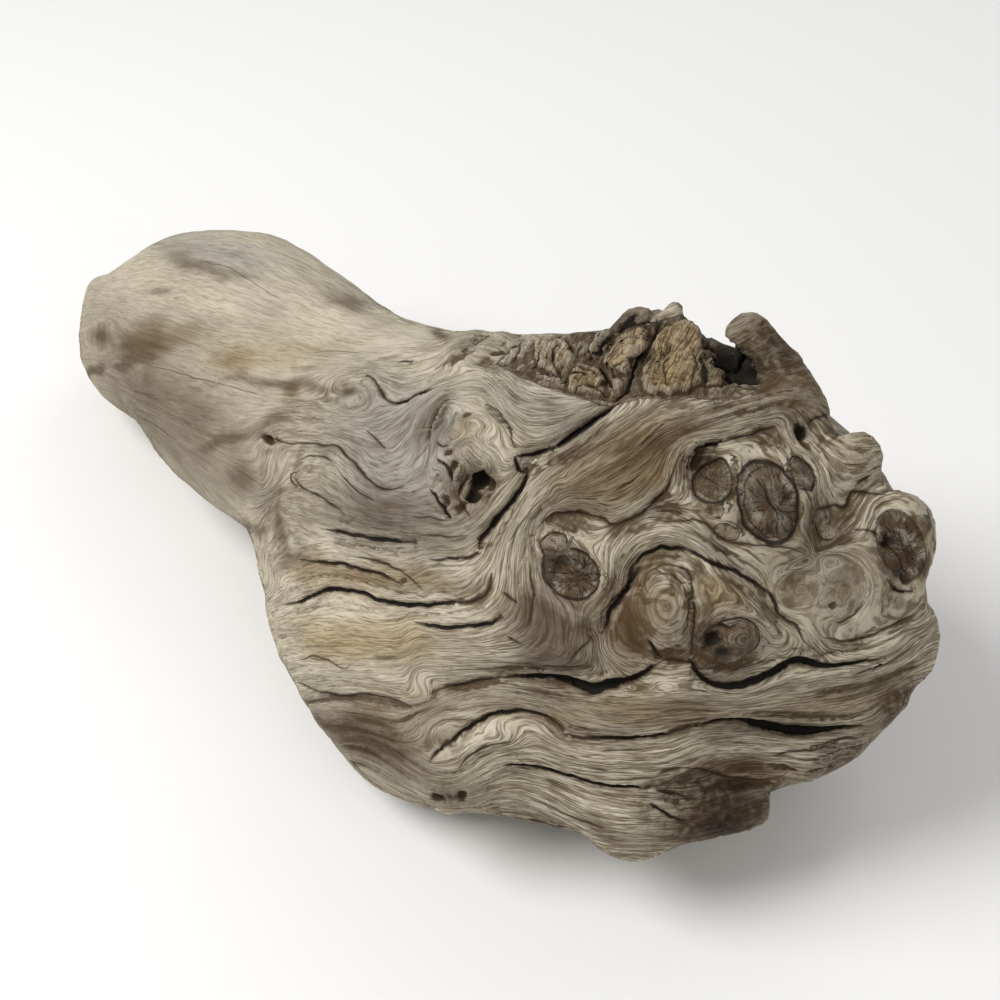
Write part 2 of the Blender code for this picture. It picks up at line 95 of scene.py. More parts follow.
# The ways from it to the crest and to the face, and how far outside the log a search for the skin starts.
CREST_WAY = np.array([0.0, 0.766, 0.643])
FACE_WAY = np.array([0.0, -0.643, 0.766])
OUTSIDE = 400.0

# Half the side of the floor, in metres.
FLOOR_HALF = 6.0

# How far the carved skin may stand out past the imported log, in millimetres.
BULGE = 0.8

# Half-widths, in millimetres: under the first a crack is a hairline, and over the second a mouth.
HAIRLINE = 0.42
MOUTH = 1.2

# The ridges along the grain: distance between them in millimetres, share of the height and noise seed.
RIDGE_WAVES = ((12.0, 1.3, 0.0), (5.5, 0.8, 9.0), (2.6, 0.35, 17.0))

# The upper left plate with its whorl, and the trunk, as an outline: its lower and right side is the long split.
PLATE_OUTLINE = [
    (-200, 900), (60, 800), (150, 700), (262, 600), (285, 605), (330, 590), (350, 592), (385, 603), (420, 605),
    (465, 603), (487, 590), (491, 575), (478, 548), (500, 520), (522, 490), (527, 470), (520, 462),
    (534, 458), (560, 447), (590, 425), (620, 402), (640, 380), (650, 340), (650, 200), (650, 60), (-200, 60),
]

# Grain lines of the plate and the trunk: how far across the grain each lies, in millimetres, and its route.
PLATE_GRAIN = [
    (105, [(285, 605), (330, 590), (350, 592), (385, 603), (420, 605), (465, 603), (487, 590), (491, 575)]),
    (114, [(275, 570), (330, 560), (400, 568), (429, 559), (457, 559), (475, 552), (478, 547)]),
    (124, [(275, 500), (330, 515), (380, 530), (420, 533), (460, 535), (490, 515), (518, 480), (535, 458)]),
    (130, [(534, 459), (560, 447), (590, 425), (612, 408)]),
    (140, [(283, 443), (300, 443), (320, 445), (337, 448), (352, 462), (365, 478), (382, 488), (400, 486),
           (413, 482), (425, 468), (430, 430), (440, 400), (480, 400), (500, 420), (518, 442), (540, 447),
           (570, 432), (595, 415)]),
    (136, [(448, 480), (443, 450), (450, 425), (470, 412), (490, 425), (505, 445), (512, 462)]),
    (132, [(455, 478), (452, 450), (462, 432), (475, 432), (488, 448), (498, 468)]),
    (128, [(462, 476), (462, 455), (470, 446), (480, 458), (486, 472)]),
    (148, [(440, 390), (480, 385), (505, 412), (530, 428), (560, 425), (590, 410)]),
    (155, [(340, 385), (370, 378), (383, 398), (395, 403), (410, 397), (440, 382), (470, 372)]),
    (158, [(455, 352), (490, 366), (515, 392), (535, 402), (570, 402), (600, 398)]),
    (158, [(90, 345), (150, 365), (220, 385), (270, 400), (330, 400), (360, 392)]),
    (140, [(100, 390), (170, 430), (230, 470), (265, 490)]),
    (124, [(120, 412), (190, 470), (240, 530), (262, 575)]),
    (172, [(85, 310), (150, 320), (220, 340), (300, 350), (370, 360), (440, 350)]),
    (186, [(110, 275), (190, 270), (270, 295), (340, 320), (430, 338)]),
    (198, [(170, 238), (240, 238), (310, 262), (370, 298), (440, 330)]),
]

# Grain lines of the layers that flow round the knots and along the lower edge.
LAYER_GRAIN = [
    (105, [(285, 605), (330, 590), (350, 592), (385, 603), (420, 605), (465, 603), (487, 590), (491, 575)]),
    (114, [(478, 548), (484, 540)]),
    (112, [(500, 520), (522, 490), (527, 470), (534, 459), (560, 447), (590, 425), (620, 402)]),
    (106, [(490, 575), (500, 548), (520, 512), (540, 482), (570, 460), (615, 430), (650, 405)]),
    (100, [(505, 585), (512, 545), (532, 500), (565, 470), (610, 438), (650, 410), (700, 395), (745, 385)]),
    (95, [(515, 600), (520, 550), (540, 510), (575, 485), (620, 460), (660, 430), (700, 415), (760, 400)]),
    (96, [(415, 622), (445, 627), (480, 625), (500, 615)]),
    (90, [(420, 640), (480, 640), (520, 625), (528, 590), (532, 550), (545, 520)]),
    (84, [(420, 650), (500, 650), (536, 640), (546, 610), (544, 590)]),
    (78, [(420, 660), (500, 662), (556, 652), (566, 628), (566, 610)]),
    (72, [(420, 671), (500, 670), (574, 662), (586, 636), (590, 612)]),
    (66, [(430, 681), (520, 672), (590, 668), (600, 648), (603, 632)]),
    (77, [(540, 530), (548, 518), (560, 513), (590, 515), (615, 525), (637, 516), (657, 499), (671, 479),
          (677, 458), (690, 447), (720, 444), (745, 437), (780, 425)]),
    (86, [(560, 495), (600, 492), (640, 470), (668, 446), (700, 432), (750, 418)]),
    (68, [(625, 548), (640, 530), (668, 522), (698, 520), (711, 527), (723, 540), (744, 544), (777, 546),
          (803, 553), (830, 560)]),
    (72, [(600, 550), (622, 536), (650, 520), (680, 505)]),
    (62, [(601, 629), (602, 614), (615, 599), (628, 583), (634, 566), (647, 553), (662, 548), (688, 550),
          (713, 562), (739, 573), (759, 586), (772, 596), (779, 614), (797, 627), (805, 642), (818, 652)]),
    (58, [(612, 640), (618, 612), (634, 592), (646, 570), (664, 560), (690, 562), (716, 574), (744, 588),
          (764, 606), (776, 628)]),
    (60, [(614, 648), (632, 662), (655, 662)]),
    (90, [(300, 640), (400, 650)]),
    (78, [(300, 670), (400, 672)]),
    (66, [(300, 700), (330, 694), (368, 700), (410, 706), (430, 700)]),
    (62, [(440, 690), (500, 680), (570, 688), (640, 675), (665, 658), (700, 670), (740, 685), (780, 672),
          (830, 665), (870, 662)]),
    (47, [(400, 730), (440, 706), (500, 696), (560, 706), (620, 714), (680, 705), (740, 704), (800, 702),
          (860, 692), (905, 672)]),
    (34, [(430, 760), (460, 735), (490, 715), (520, 712), (550, 720), (565, 735), (620, 738), (660, 735),
          (700, 722), (760, 725), (800, 730), (870, 727)]),
    (30, [(460, 765), (475, 752), (510, 743)]),
    (14, [(505, 765), (540, 768), (600, 785), (660, 788), (700, 785)]),
    (-12, [(360, 770), (440, 812), (520, 806), (600, 842), (700, 845), (760, 825)]),
    (68, [(915, 618), (880, 636), (850, 640), (830, 638)]),
    (58, [(920, 640), (905, 655), (880, 668), (860, 675)]),
    (75, [(800, 556), (840, 540), (870, 520), (890, 500)]),
    (82, [(800, 440), (830, 470), (860, 480), (880, 470)]),
    (106, [(640, 395), (690, 385), (730, 370), (770, 350)]),
]

# Cracks that the viewpoint sees: half-width and depth in millimetres, and the route.
CRACKS = {
    "long_split_upper": (1.5, 4.5, [(622, 399), (612, 406), (600, 416), (588, 425), (574, 436), (560, 445),
                                    (548, 451)]),
    "long_split_neck": (0.7, 2.2, [(556, 447), (541, 453), (528, 456), (519, 457), (515, 455)]),
    "long_split_turn": (0.6, 1.6, [(515, 455), (517, 463), (521, 471), (525, 474)]),
    "long_split_lower": (1.0, 2.6, [(527, 466), (526, 480), (517, 494), (506, 509), (492, 526), (480, 540),
                                    (478, 550)]),
    "fold_under_whorl": (0.45, 1.2, [(480, 534), (478, 548), (470, 556), (457, 558), (442, 559), (427, 560)]),
    "plate_lower_edge": (0.9, 2.4, [(285, 605), (300, 601), (318, 593), (332, 589), (346, 590), (362, 593),
                                    (378, 600), (396, 603), (420, 605), (446, 603), (466, 602)]),
    "plate_lower_turn": (0.45, 1.2, [(456, 603), (472, 601), (485, 594), (490, 582), (491, 572)]),
    "short_mouth": (0.8, 2.0, [(415, 621), (430, 625), (447, 627), (466, 626), (486, 624), (498, 619),
                               (502, 614)]),
    "plate_mid_crack": (0.7, 1.8, [(326, 530), (340, 532), (358, 536), (376, 539), (396, 541), (418, 541)]),
    "plate_mid_hair": (0.3, 0.8, [(419, 535), (444, 536), (466, 535)]),
    "plate_short_hair": (0.25, 0.6, [(411, 517), (429, 517), (444, 521)]),
    "pit_to_fold": (0.4, 1.0, [(262, 437), (272, 438), (286, 443), (306, 443), (324, 445), (338, 447),
                               (348, 457), (357, 466), (365, 476), (374, 484), (383, 489), (395, 488),
                               (403, 486)]),
    "fold_hair": (0.3, 0.8, [(365, 430), (376, 439), (387, 449)]),
    "upper_fold": (0.5, 1.4, [(365, 374), (374, 381), (380, 391), (388, 400), (396, 403), (405, 400),
                              (415, 395), (427, 390), (438, 384)]),
    "upper_fold_mark": (0.4, 1.0, [(398, 363), (406, 361), (416, 361)]),
    "boss_rim": (0.35, 1.0, [(290, 473), (297, 482), (306, 490), (320, 496), (332, 505), (344, 514)]),
    "boss_right_hair": (0.3, 0.8, [(342, 476), (352, 486), (362, 494), (374, 501)]),
    "boss_top": (0.3, 0.7, [(300, 459), (312, 456), (324, 457), (334, 462)]),
    "boss_left": (0.35, 0.9, [(297, 488), (290, 480), (291, 474), (298, 472)]),
    "whorl_left_arc": (1.1, 3.0, [(449, 397), (442, 403), (436, 412), (431, 420), (429, 429)]),
    "whorl_left_tail": (0.3, 0.8, [(429, 429), (427, 440), (422, 450), (415, 458)]),
    "whorl_left_fold": (0.45, 1.2, [(434, 441), (440, 446), (447, 444)]),
    "whorl_low_fold": (0.8, 2.0, [(429, 489), (435, 498), (441, 507), (446, 513), (451, 519)]),
    "whorl_hair": (0.3, 0.8, [(485, 402), (496, 410), (505, 420), (511, 432), (513, 443), (518, 450)]),
    "whorl_mid_fold": (0.6, 1.6, [(436, 460), (444, 466), (449, 474), (452, 482)]),
    "whorl_pit_fold": (0.5, 1.5, [(470, 474), (462, 486), (458, 497), (464, 508), (470, 516)]),
    "tear_left": (0.9, 3.0, [(588, 359), (598, 350), (606, 342), (611, 336)]),
    "tear_long": (0.9, 3.2, [(613, 402), (616, 396), (626, 386), (632, 374), (638, 362), (648, 346),
                             (656, 332), (664, 320)]),
    "crown_groove": (0.5, 1.4, [(521, 342), (519, 350), (512, 358), (503, 363), (494, 366)]),
    "block_one": (0.5, 1.5, [(541, 351), (536, 361), (528, 368)]),
    "block_two": (0.5, 1.6, [(556, 345), (553, 357), (556, 369), (562, 381)]),
    "block_three": (0.6, 1.8, [(564, 381), (566, 372), (576, 366), (586, 369), (597, 378)]),
    "block_four": (0.5, 1.6, [(572, 392), (584, 387), (598, 390), (611, 395)]),
    "block_five": (0.7, 2.0, [(600, 366), (607, 378), (613, 391)]),
    "block_six": (0.4, 1.4, [(536, 376), (548, 372), (556, 375)]),
    "slab_split_one": (0.35, 1.1, [(664, 392), (666, 378), (668, 362), (674, 346)]),
    "slab_split_two": (0.4, 1.2, [(688, 396), (692, 380), (693, 366), (690, 352)]),
    "slab_split_three": (0.35, 1.1, [(706, 386), (708, 372), (704, 358)]),
    "tear_low": (0.5, 1.6, [(560, 384), (566, 374), (578, 372), (590, 378)]),
    "tear_mid": (0.6, 1.8, [(597, 392), (606, 380), (618, 372), (628, 366)]),
    "round_knots_upper": (0.45, 1.3, [(538, 531), (542, 522), (552, 515), (566, 513), (581, 513), (592, 515),
                                      (604, 519), (615, 525), (626, 521), (637, 516), (648, 508), (657, 499),
                                      (665, 492), (670, 480), (674, 468), (678, 457), (686, 447)]),
    "hollow_knot_brow": (1.1, 2.6, [(687, 470), (688, 460), (694, 452), (703, 447), (714, 444), (722, 441)]),
    "long_brow": (0.45, 1.2, [(718, 444), (727, 440), (736, 438), (748, 436), (760, 431), (770, 428),
                              (777, 425)]),
    "outer_ring": (0.6, 1.7, [(601, 631), (602, 614), (608, 606), (615, 599), (623, 592), (628, 583),
                              (631, 575), (634, 566), (640, 559), (647, 553), (662, 548), (675, 548),
                              (688, 550), (701, 556), (713, 562), (726, 567), (739, 573), (750, 580),
                              (759, 586), (767, 591), (772, 596), (776, 605), (779, 614), (788, 620),
                              (797, 627), (801, 635), (805, 642), (811, 648), (818, 652)]),
    "outer_ring_twin": (0.9, 2.2, [(641, 566), (634, 576), (624, 592), (618, 604), (611, 612), (608, 622),
                                   (601, 634)]),
    "eye_ring_right": (0.4, 1.1, [(654, 569), (662, 565), (670, 564), (680, 566), (688, 571), (692, 582),
                                  (693, 596), (695, 608), (695, 622), (693, 640), (691, 657)]),
    "eye_ring_inner": (0.3, 0.8, [(650, 579), (660, 573), (672, 574), (681, 581), (687, 592), (690, 604),
                                  (688, 622), (682, 636)]),
    "eye_lower": (0.5, 1.4, [(646, 638), (653, 648), (662, 660)]),
    "grey_hair": (0.3, 0.9, [(592, 637), (583, 647), (574, 656), (569, 663)]),
    "grey_left": (0.45, 1.2, [(503, 592), (510, 597), (518, 603)]),
    "grey_left_low": (0.45, 1.2, [(507, 636), (514, 641), (521, 644)]),
    "grey_long": (0.35, 1.0, [(530, 563), (531, 578), (533, 593), (532, 606), (530, 618), (527, 626)]),
    "flow_hair": (0.25, 0.7, [(508, 543), (516, 532), (523, 522), (532, 510), (541, 499)]),
    "twin_hair": (0.3, 0.8, [(615, 568), (614, 580), (610, 592)]),
    "low_hair": (0.25, 0.6, [(482, 661), (508, 663), (533, 665), (560, 667), (595, 669)]),
    "belly_thin": (0.45, 1.3, [(430, 694), (446, 688), (466, 684), (486, 680), (508, 677)]),
    "belly_mouth": (1.7, 4.6, [(500, 679), (515, 677), (532, 677), (548, 678), (564, 681), (578, 684),
                               (590, 689), (600, 687), (611, 684), (628, 679), (644, 673), (654, 667),
                               (664, 660)]),
    "right_mouth": (1.5, 4.0, [(662, 660), (676, 660), (690, 662), (697, 669), (703, 675), (712, 681),
                               (723, 684), (740, 683), (754, 679), (770, 673), (784, 666), (795, 661),
                               (810, 662), (828, 666), (848, 664), (866, 661), (880, 659), (889, 657)]),
    "ring_hair_right": (0.35, 1.0, [(822, 636), (836, 640), (852, 640), (866, 637), (880, 631), (892, 624),
                                    (904, 619), (914, 615)]),
    "right_edge_crack": (0.45, 1.3, [(850, 676), (862, 672), (878, 667), (892, 660), (905, 652), (915, 642)]),
    "layer_hair": (0.35, 1.0, [(668, 522), (684, 520), (698, 520), (706, 523), (711, 528), (717, 534),
                               (724, 540), (734, 543), (744, 544), (760, 545), (777, 546), (792, 549),
                               (803, 553)]),
    "spur_line": (0.4, 1.1, [(816, 510), (826, 507), (835, 506), (842, 508), (848, 506), (850, 499),
                             (852, 493), (860, 491), (876, 493), (890, 494)]),
    "spur_hair": (0.3, 0.9, [(853, 530), (864, 529), (876, 533), (880, 537)]),
    "shoulder_crack": (0.4, 1.1, [(808, 428), (814, 420), (822, 416), (828, 414)]),
    "spur_foot": (0.4, 1.1, [(856, 484), (864, 480), (872, 476)]),
    "hook_hair": (0.35, 1.0, [(817, 526), (820, 534), (826, 539), (834, 539)]),
    "spur_shadow": (0.5, 1.4, [(886, 577), (894, 586), (902, 590), (914, 592)]),
    "nodule_hair": (0.3, 0.8, [(835, 622), (846, 620), (855, 613), (862, 604)]),
    "lower_mouth": (1.5, 4.2, [(692, 728), (706, 724), (720, 721), (738, 721), (756, 723), (776, 727), (798, 729),
                               (822, 729), (846, 727), (868, 726)]),
    "lower_thin": (0.6, 1.8, [(562, 734), (580, 738), (606, 739), (634, 739), (660, 736), (682, 730),
                              (700, 724)]),
    "sweep_left": (0.7, 2.0, [(428, 762), (438, 752), (448, 743), (460, 734), (474, 724), (488, 716),
                              (504, 712), (520, 711), (538, 714), (550, 720), (560, 729), (566, 737)]),
    "sweep_inner": (0.4, 1.2, [(458, 768), (466, 758), (476, 751), (492, 746), (510, 743)]),
    "hem_crack": (1.0, 2.8, [(503, 766), (520, 765), (540, 768), (560, 773), (580, 779), (600, 785),
                             (626, 788), (650, 788)]),
    "hem_crack_low": (0.4, 1.2, [(530, 796), (552, 806), (578, 818), (604, 828)]),
    "chunk_fold_one": (0.6, 1.8, [(650, 803), (661, 811), (674, 818), (688, 822)]),
    "chunk_fold_two": (0.45, 1.8, [(656, 790), (668, 793), (682, 795), (690, 800)]),
    "end_wrinkle_one": (0.4, 1.3, [(808, 748), (824, 744), (842, 738), (858, 738)]),
    "end_wrinkle_two": (0.4, 1.3, [(812, 760), (828, 755), (846, 748), (862, 744)]),
    "end_wrinkle_three": (0.4, 1.2, [(806, 772), (822, 768), (838, 760)]),
    "slab_line": (0.35, 1.0, [(652, 772), (680, 768), (704, 770), (730, 777), (760, 780), (790, 772)]),
    "slab_line_right": (0.4, 1.2, [(772, 756), (792, 752), (814, 750), (838, 742)]),
    "oval_knot_left_rim": (0.32, 1.2, [(776, 465), (764, 466), (752, 472), (745, 482), (744, 494), (746, 508),
                                       (751, 522), (758, 530), (768, 537), (782, 538)]),
    "oval_knot_right_rim": (0.22, 0.7, [(782, 466), (790, 472), (796, 484), (798, 500), (795, 518), (788, 532)]),
    "oval_knot_split": (0.4, 1.3, [(763, 482), (766, 492), (771, 503), (777, 511), (778, 520), (777, 528),
                                   (779, 540)]),
    "oval_knot_branch": (0.25, 0.8, [(777, 511), (782, 504), (785, 497), (785, 489)]),
    "oval_knot_spur": (0.22, 0.7, [(777, 512), (784, 511), (792, 515)]),
    "twin_check_one": (0.2, 0.8, [(570, 572), (580, 573), (592, 574), (603, 575)]),
    "twin_check_two": (0.2, 0.8, [(568, 576), (564, 581), (560, 585)]),
    "twin_check_three": (0.22, 0.8, [(572, 578), (570, 585), (569, 592)]),
    "twin_check_four": (0.2, 0.8, [(577, 578), (579, 586), (581, 594)]),
    "twin_check_five": (0.22, 0.8, [(582, 577), (589, 583), (597, 589)]),
    "twin_check_six": (0.2, 0.8, [(578, 570), (588, 564), (595, 561)]),
    "spur_knot_check_one": (0.35, 1.2, [(888, 533), (893, 546), (900, 558), (908, 572)]),
    "spur_knot_check_two": (0.3, 1.1, [(897, 530), (902, 545), (908, 558), (915, 570)]),
    "spur_knot_check_three": (0.25, 0.9, [(906, 534), (911, 546), (915, 556)]),
    "hollow_knot_check": (0.2, 0.7, [(700, 474), (708, 480), (718, 484)]),
    "dark_knot_fold": (0.5, 1.4, [(704, 634), (712, 628), (722, 626), (731, 628), (738, 624)]),
    "belt_hair": (0.3, 0.8, [(300, 660), (316, 656), (330, 660), (344, 668), (352, 664)]),
    "belt_low_hair": (0.4, 1.0, [(296, 682), (316, 690), (342, 696), (368, 694), (396, 700), (412, 708)]),
    "left_layer": (0.6, 1.6, [(300, 560), (318, 562), (340, 564), (362, 570), (384, 576), (404, 586)]),
    "left_layer_twin": (0.4, 1.0, [(352, 556), (374, 560), (394, 568), (410, 578), (424, 590)]),
    "trunk_check": (0.14, 0.35, [(150, 366), (176, 372), (204, 380), (236, 388), (262, 396)]),
    "trunk_check_low": (0.12, 0.3, [(120, 402), (140, 418), (162, 430), (182, 446)]),
    "trunk_check_top": (0.12, 0.25, [(200, 262), (228, 268), (256, 284), (280, 300)]),
    "trunk_mark": (0.15, 0.4, [(310, 352), (330, 350), (350, 352), (368, 350)]),
}

# Cracks on the sides that the viewpoint doesn't see, by x and the angle round the middle line in degrees.
HIDDEN_CRACKS = {
    "rear_long": (1.3, 3.2, [(-190, 300), (-140, 293), (-60, 301), (20, 287), (90, 296), (138, 309)]),
    "rear_low": (1.2, 3.0, [(-172, 257), (-100, 247), (-20, 262), (60, 249), (118, 252)]),
    "rear_high": (0.8, 2.0, [(-150, 326), (-90, 337), (-30, 331), (10, 339)]),
    "rear_end": (0.9, 2.2, [(70, 334), (96, 337), (124, 332), (146, 316)]),
    "rear_waist": (0.6, 1.6, [(-100, 318), (-60, 320), (-24, 312), (6, 306)]),
    "rear_wrap": (0.7, 1.8, [(6, 318), (20, 301), (46, 296), (72, 306), (80, 322)]),
    "sole_long": (1.1, 2.6, [(-150, 222), (-70, 214), (0, 226), (70, 212), (128, 220)]),
    "sole_short": (0.8, 2.0, [(10, 198), (60, 192), (118, 200)]),
    "rear_hair_one": (0.35, 1.0, [(-120, 282), (-70, 279), (-30, 283), (14, 274)]),
    "rear_hair_two": (0.35, 1.0, [(-60, 346), (-14, 350), (30, 352), (70, 346)]),
    "rear_hair_three": (0.3, 0.9, [(30, 268), (66, 272), (104, 268), (132, 276)]),
    "rear_hair_four": (0.3, 0.9, [(-180, 330), (-150, 338), (-116, 344), (-84, 350)]),
    "rear_hair_five": (0.4, 1.1, [(-200, 278), (-166, 270), (-130, 266), (-96, 262)]),
    "sole_hair_one": (0.35, 1.0, [(-110, 236), (-60, 240), (-10, 244), (30, 238)]),
    "sole_hair_two": (0.3, 0.9, [(-60, 204), (-16, 208), (40, 206), (86, 202)]),
    "under_hair": (0.4, 1.1, [(-40, 184), (10, 180), (60, 182), (108, 188)]),
    "end_check_one": (0.6, 1.6, [(150, 330), (157, 300), (158, 270), (152, 240)]),
    "end_check_two": (0.4, 1.2, [(140, 356), (150, 350), (158, 344), (163, 330)]),
    "trunk_end_check": (0.6, 1.4, [(-222, 250), (-236, 268), (-238, 300), (-228, 330)]),
    "trunk_end_hair": (0.35, 0.9, [(-216, 210), (-230, 196), (-236, 170), (-230, 140)]),
}

# Knots: place, half-length, half-width, direction, then darkness, checks, rings and rim from 0 to 1.
KNOTS = {
    "oval_knot": ((771, 500), 13.6, 10.0, -75, 0.7, 0.8, 0.35, 1.0),
    "upper_knot": ((804, 472), 6.0, 4.6, -60, 0.85, 0.3, 0.6, 1.0),
    "hollow_knot": ((713, 480), 7.8, 6.2, -65, 0.9, 0.4, 0.6, 0.9),
    "tiny_knob": ((717, 511), 2.2, 2.2, 0, 0.1, 0.0, 0.6, 1.0),
    "tiny_eye": ((727, 532), 4.0, 2.4, -20, 0.35, 0.0, 0.6, 0.7),
    "small_round_knot": ((552, 541), 4.5, 4.4, 0, 0.4, 0.1, 0.9, 1.0),
    "twin_knot": ((578, 576), 9.0, 7.2, -28, 0.95, 0.9, 0.2, 0.9),
    "great_eye": ((666, 606), 17.0, 13.5, -80, 0.0, 0.0, 0.6, 0.15),
    "eye_heart": ((662, 602), 7.5, 5.0, -80, -0.15, 0.1, 0.65, 0.2),
    "dark_knot": ((744, 640), 7.6, 6.4, -10, 0.45, 0.1, 1.0, 0.8),
    "dark_partner": ((717, 652), 7.4, 8.0, 60, 0.8, 0.2, 0.7, 0.4),
    "spur_knot": ((901, 545), 12.0, 7.2, -66, 0.95, 0.7, 0.2, 0.5),
    "trunk_eye": ((101, 337), 6.5, 5.5, 80, 0.1, 0.0, 0.35, 0.05),
    "side_eye": ((802, 590), 9.0, 6.0, 10, 0.0, 0.0, 0.4, 0.1),
    "nodule_eye": ((845, 592), 9.0, 7.0, 50, 0.1, 0.1, 0.3, 0.1),
    "right_dot": ((821, 520), 2.4, 3.6, 0, 0.3, 0.0, 0.8, 0.4),
}
HIDDEN_KNOTS = {
    "rear_knot": ((44, 320), 12.0, 9.5, 20, 0.85, 0.8, 0.4, 1.0),
    "rear_end_knot": ((116, 318), 8.5, 7.5, 0, 0.6, 0.3, 0.9, 0.9),
    "rear_small_knot": ((88, 300), 7.0, 6.0, 0, 0.85, 0.7, 0.3, 0.9),
    "rear_trunk_knot": ((-122, 308), 8.0, 6.6, 0, 0.7, 0.6, 0.5, 0.9),
    "rear_waist_knot": ((-40, 322), 6.6, 5.6, 0, 0.4, 0.1, 0.9, 0.8),
    "end_knot": ((150, 250), 7.5, 6.6, 0, 0.7, 0.5, 0.6, 0.9),
    "sole_knot": ((-30, 236), 7.5, 6.6, 0, 0.5, 0.3, 0.8, 0.8),
}

# Holes and pits: place, half-length, half-width, direction and depth.
HOLLOWS = {
    "lobe_hollow": ((730, 358), 10.0, 4.8, -44, 7.5),
    "lobe_hollow_low": ((744, 374), 5.5, 3.4, -40, 5.0),
    "knob_hollow": ((626, 322), 5.0, 2.8, 30, 3.4),
    "whorl_hole": ((479, 481), 3.6, 2.8, -40, 4.5),
    "whorl_hole_low": ((474, 494), 4.0, 2.4, 70, 3.2),
    "whorl_hole_side": ((489, 484), 2.4, 2.2, 0, 2.5),
    "whorl_crumb_one": ((452, 466), 2.6, 1.8, 60, 2.2),
    "whorl_crumb_two": ((446, 452), 2.2, 1.4, 10, 1.6),
    "whorl_crumb_three": ((461, 506), 3.0, 1.6, 50, 2.0),
    "whorl_crumb_four": ((444, 500), 2.4, 1.6, -50, 1.8),
    "whorl_crumb_five": ((466, 414), 2.0, 1.3, 0, 1.0),
    "whorl_arc_pit": ((434, 415), 4.6, 1.4, 62, 3.2),
    "plate_pit": ((266, 439), 3.4, 1.8, -20, 2.6),
    "end_nick": ((801, 433), 3.4, 1.8, -60, 4.0),
    "end_nick_low": ((806, 445), 2.4, 1.6, -60, 2.5),
    "twin_hollow": ((564, 563), 3.0, 2.6, 0, 2.2),
    "hollow_knot_shadow": ((696, 460), 4.6, 2.0, 50, 2.6),
    "dark_cluster_pit": ((711, 640), 3.4, 2.6, 40, 2.6),
    "dark_cluster_low": ((722, 654), 3.0, 3.0, 0, 1.8),
    "spur_knot_hollow": ((890, 540), 3.6, 3.2, 0, 2.2),
    "spur_knot_hollow_low": ((905, 576), 4.0, 2.2, -60, 2.2),
    "crest_pit_one": ((500, 352), 3.2, 1.8, 10, 2.2),
    "crest_pit_two": ((524, 350), 2.6, 1.8, 60, 2.0),
    "crest_pit_three": ((575, 352), 3.0, 2.0, 50, 2.0),
    "crest_pit_four": ((560, 368), 3.0, 1.6, 20, 1.8),
    "nodule_pit": ((833, 606), 1.6, 1.2, 0, 1.0),
    "rot_pocket": ((672, 772), 4.0, 1.8, 10, 1.8),
    "rot_pocket_right": ((784, 769), 5.0, 1.8, 8, 1.8),
    "rot_hollow": ((732, 784), 15.0, 3.0, -4, 1.2),
    "hem_pit": ((437, 799), 3.0, 2.4, 40, 2.0),
    "hem_pit_right": ((462, 797), 3.0, 2.0, 80, 2.0),
    "crest_end_pit": ((440, 333), 2.6, 1.6, -40, 1.6),
    "left_layer_pit": ((404, 580), 2.4, 1.4, -20, 1.2),
}

# Where the surface is crumbled or fibrous instead of worn smooth: place, reach, tilt and strength.
ROUGH_PATCHES = {
    "whorl": ((464, 480), 34, 44, 8, 0.6),
    "big_lobe": ((770, 345), 46, 40, -20, 0.75),
    "side_lobe": ((806, 405), 26, 34, -30, 0.6),
    "crest_shoulder": ((740, 395), 50, 18, -20, 0.7),
    "spur": ((858, 465), 30, 34, 0, 0.5),
    "knot_spur": ((905, 556), 32, 50, -20, 0.6),
    "hem": ((705, 810), 66, 36, 0, 0.9),
    "hem_right": ((840, 765), 60, 24, 36, 0.8),
    "under_end": ((905, 706), 30, 28, 0, 0.9),
    "hem_nodule": ((447, 798), 24, 16, 0, 0.7),
    "knot_cluster": ((722, 645), 30, 26, 0, 0.5),
    "crown": ((500, 345), 60, 14, -5, 0.6),
    "left_edge": ((276, 528), 14, 40, 10, 0.4),
    "hem_left": ((380, 752), 70, 26, -30, 0.25),
    "boss": ((318, 470), 26, 22, 0, 0.3),
    "nodule": ((842, 592), 16, 15, 0, 0.4),
}

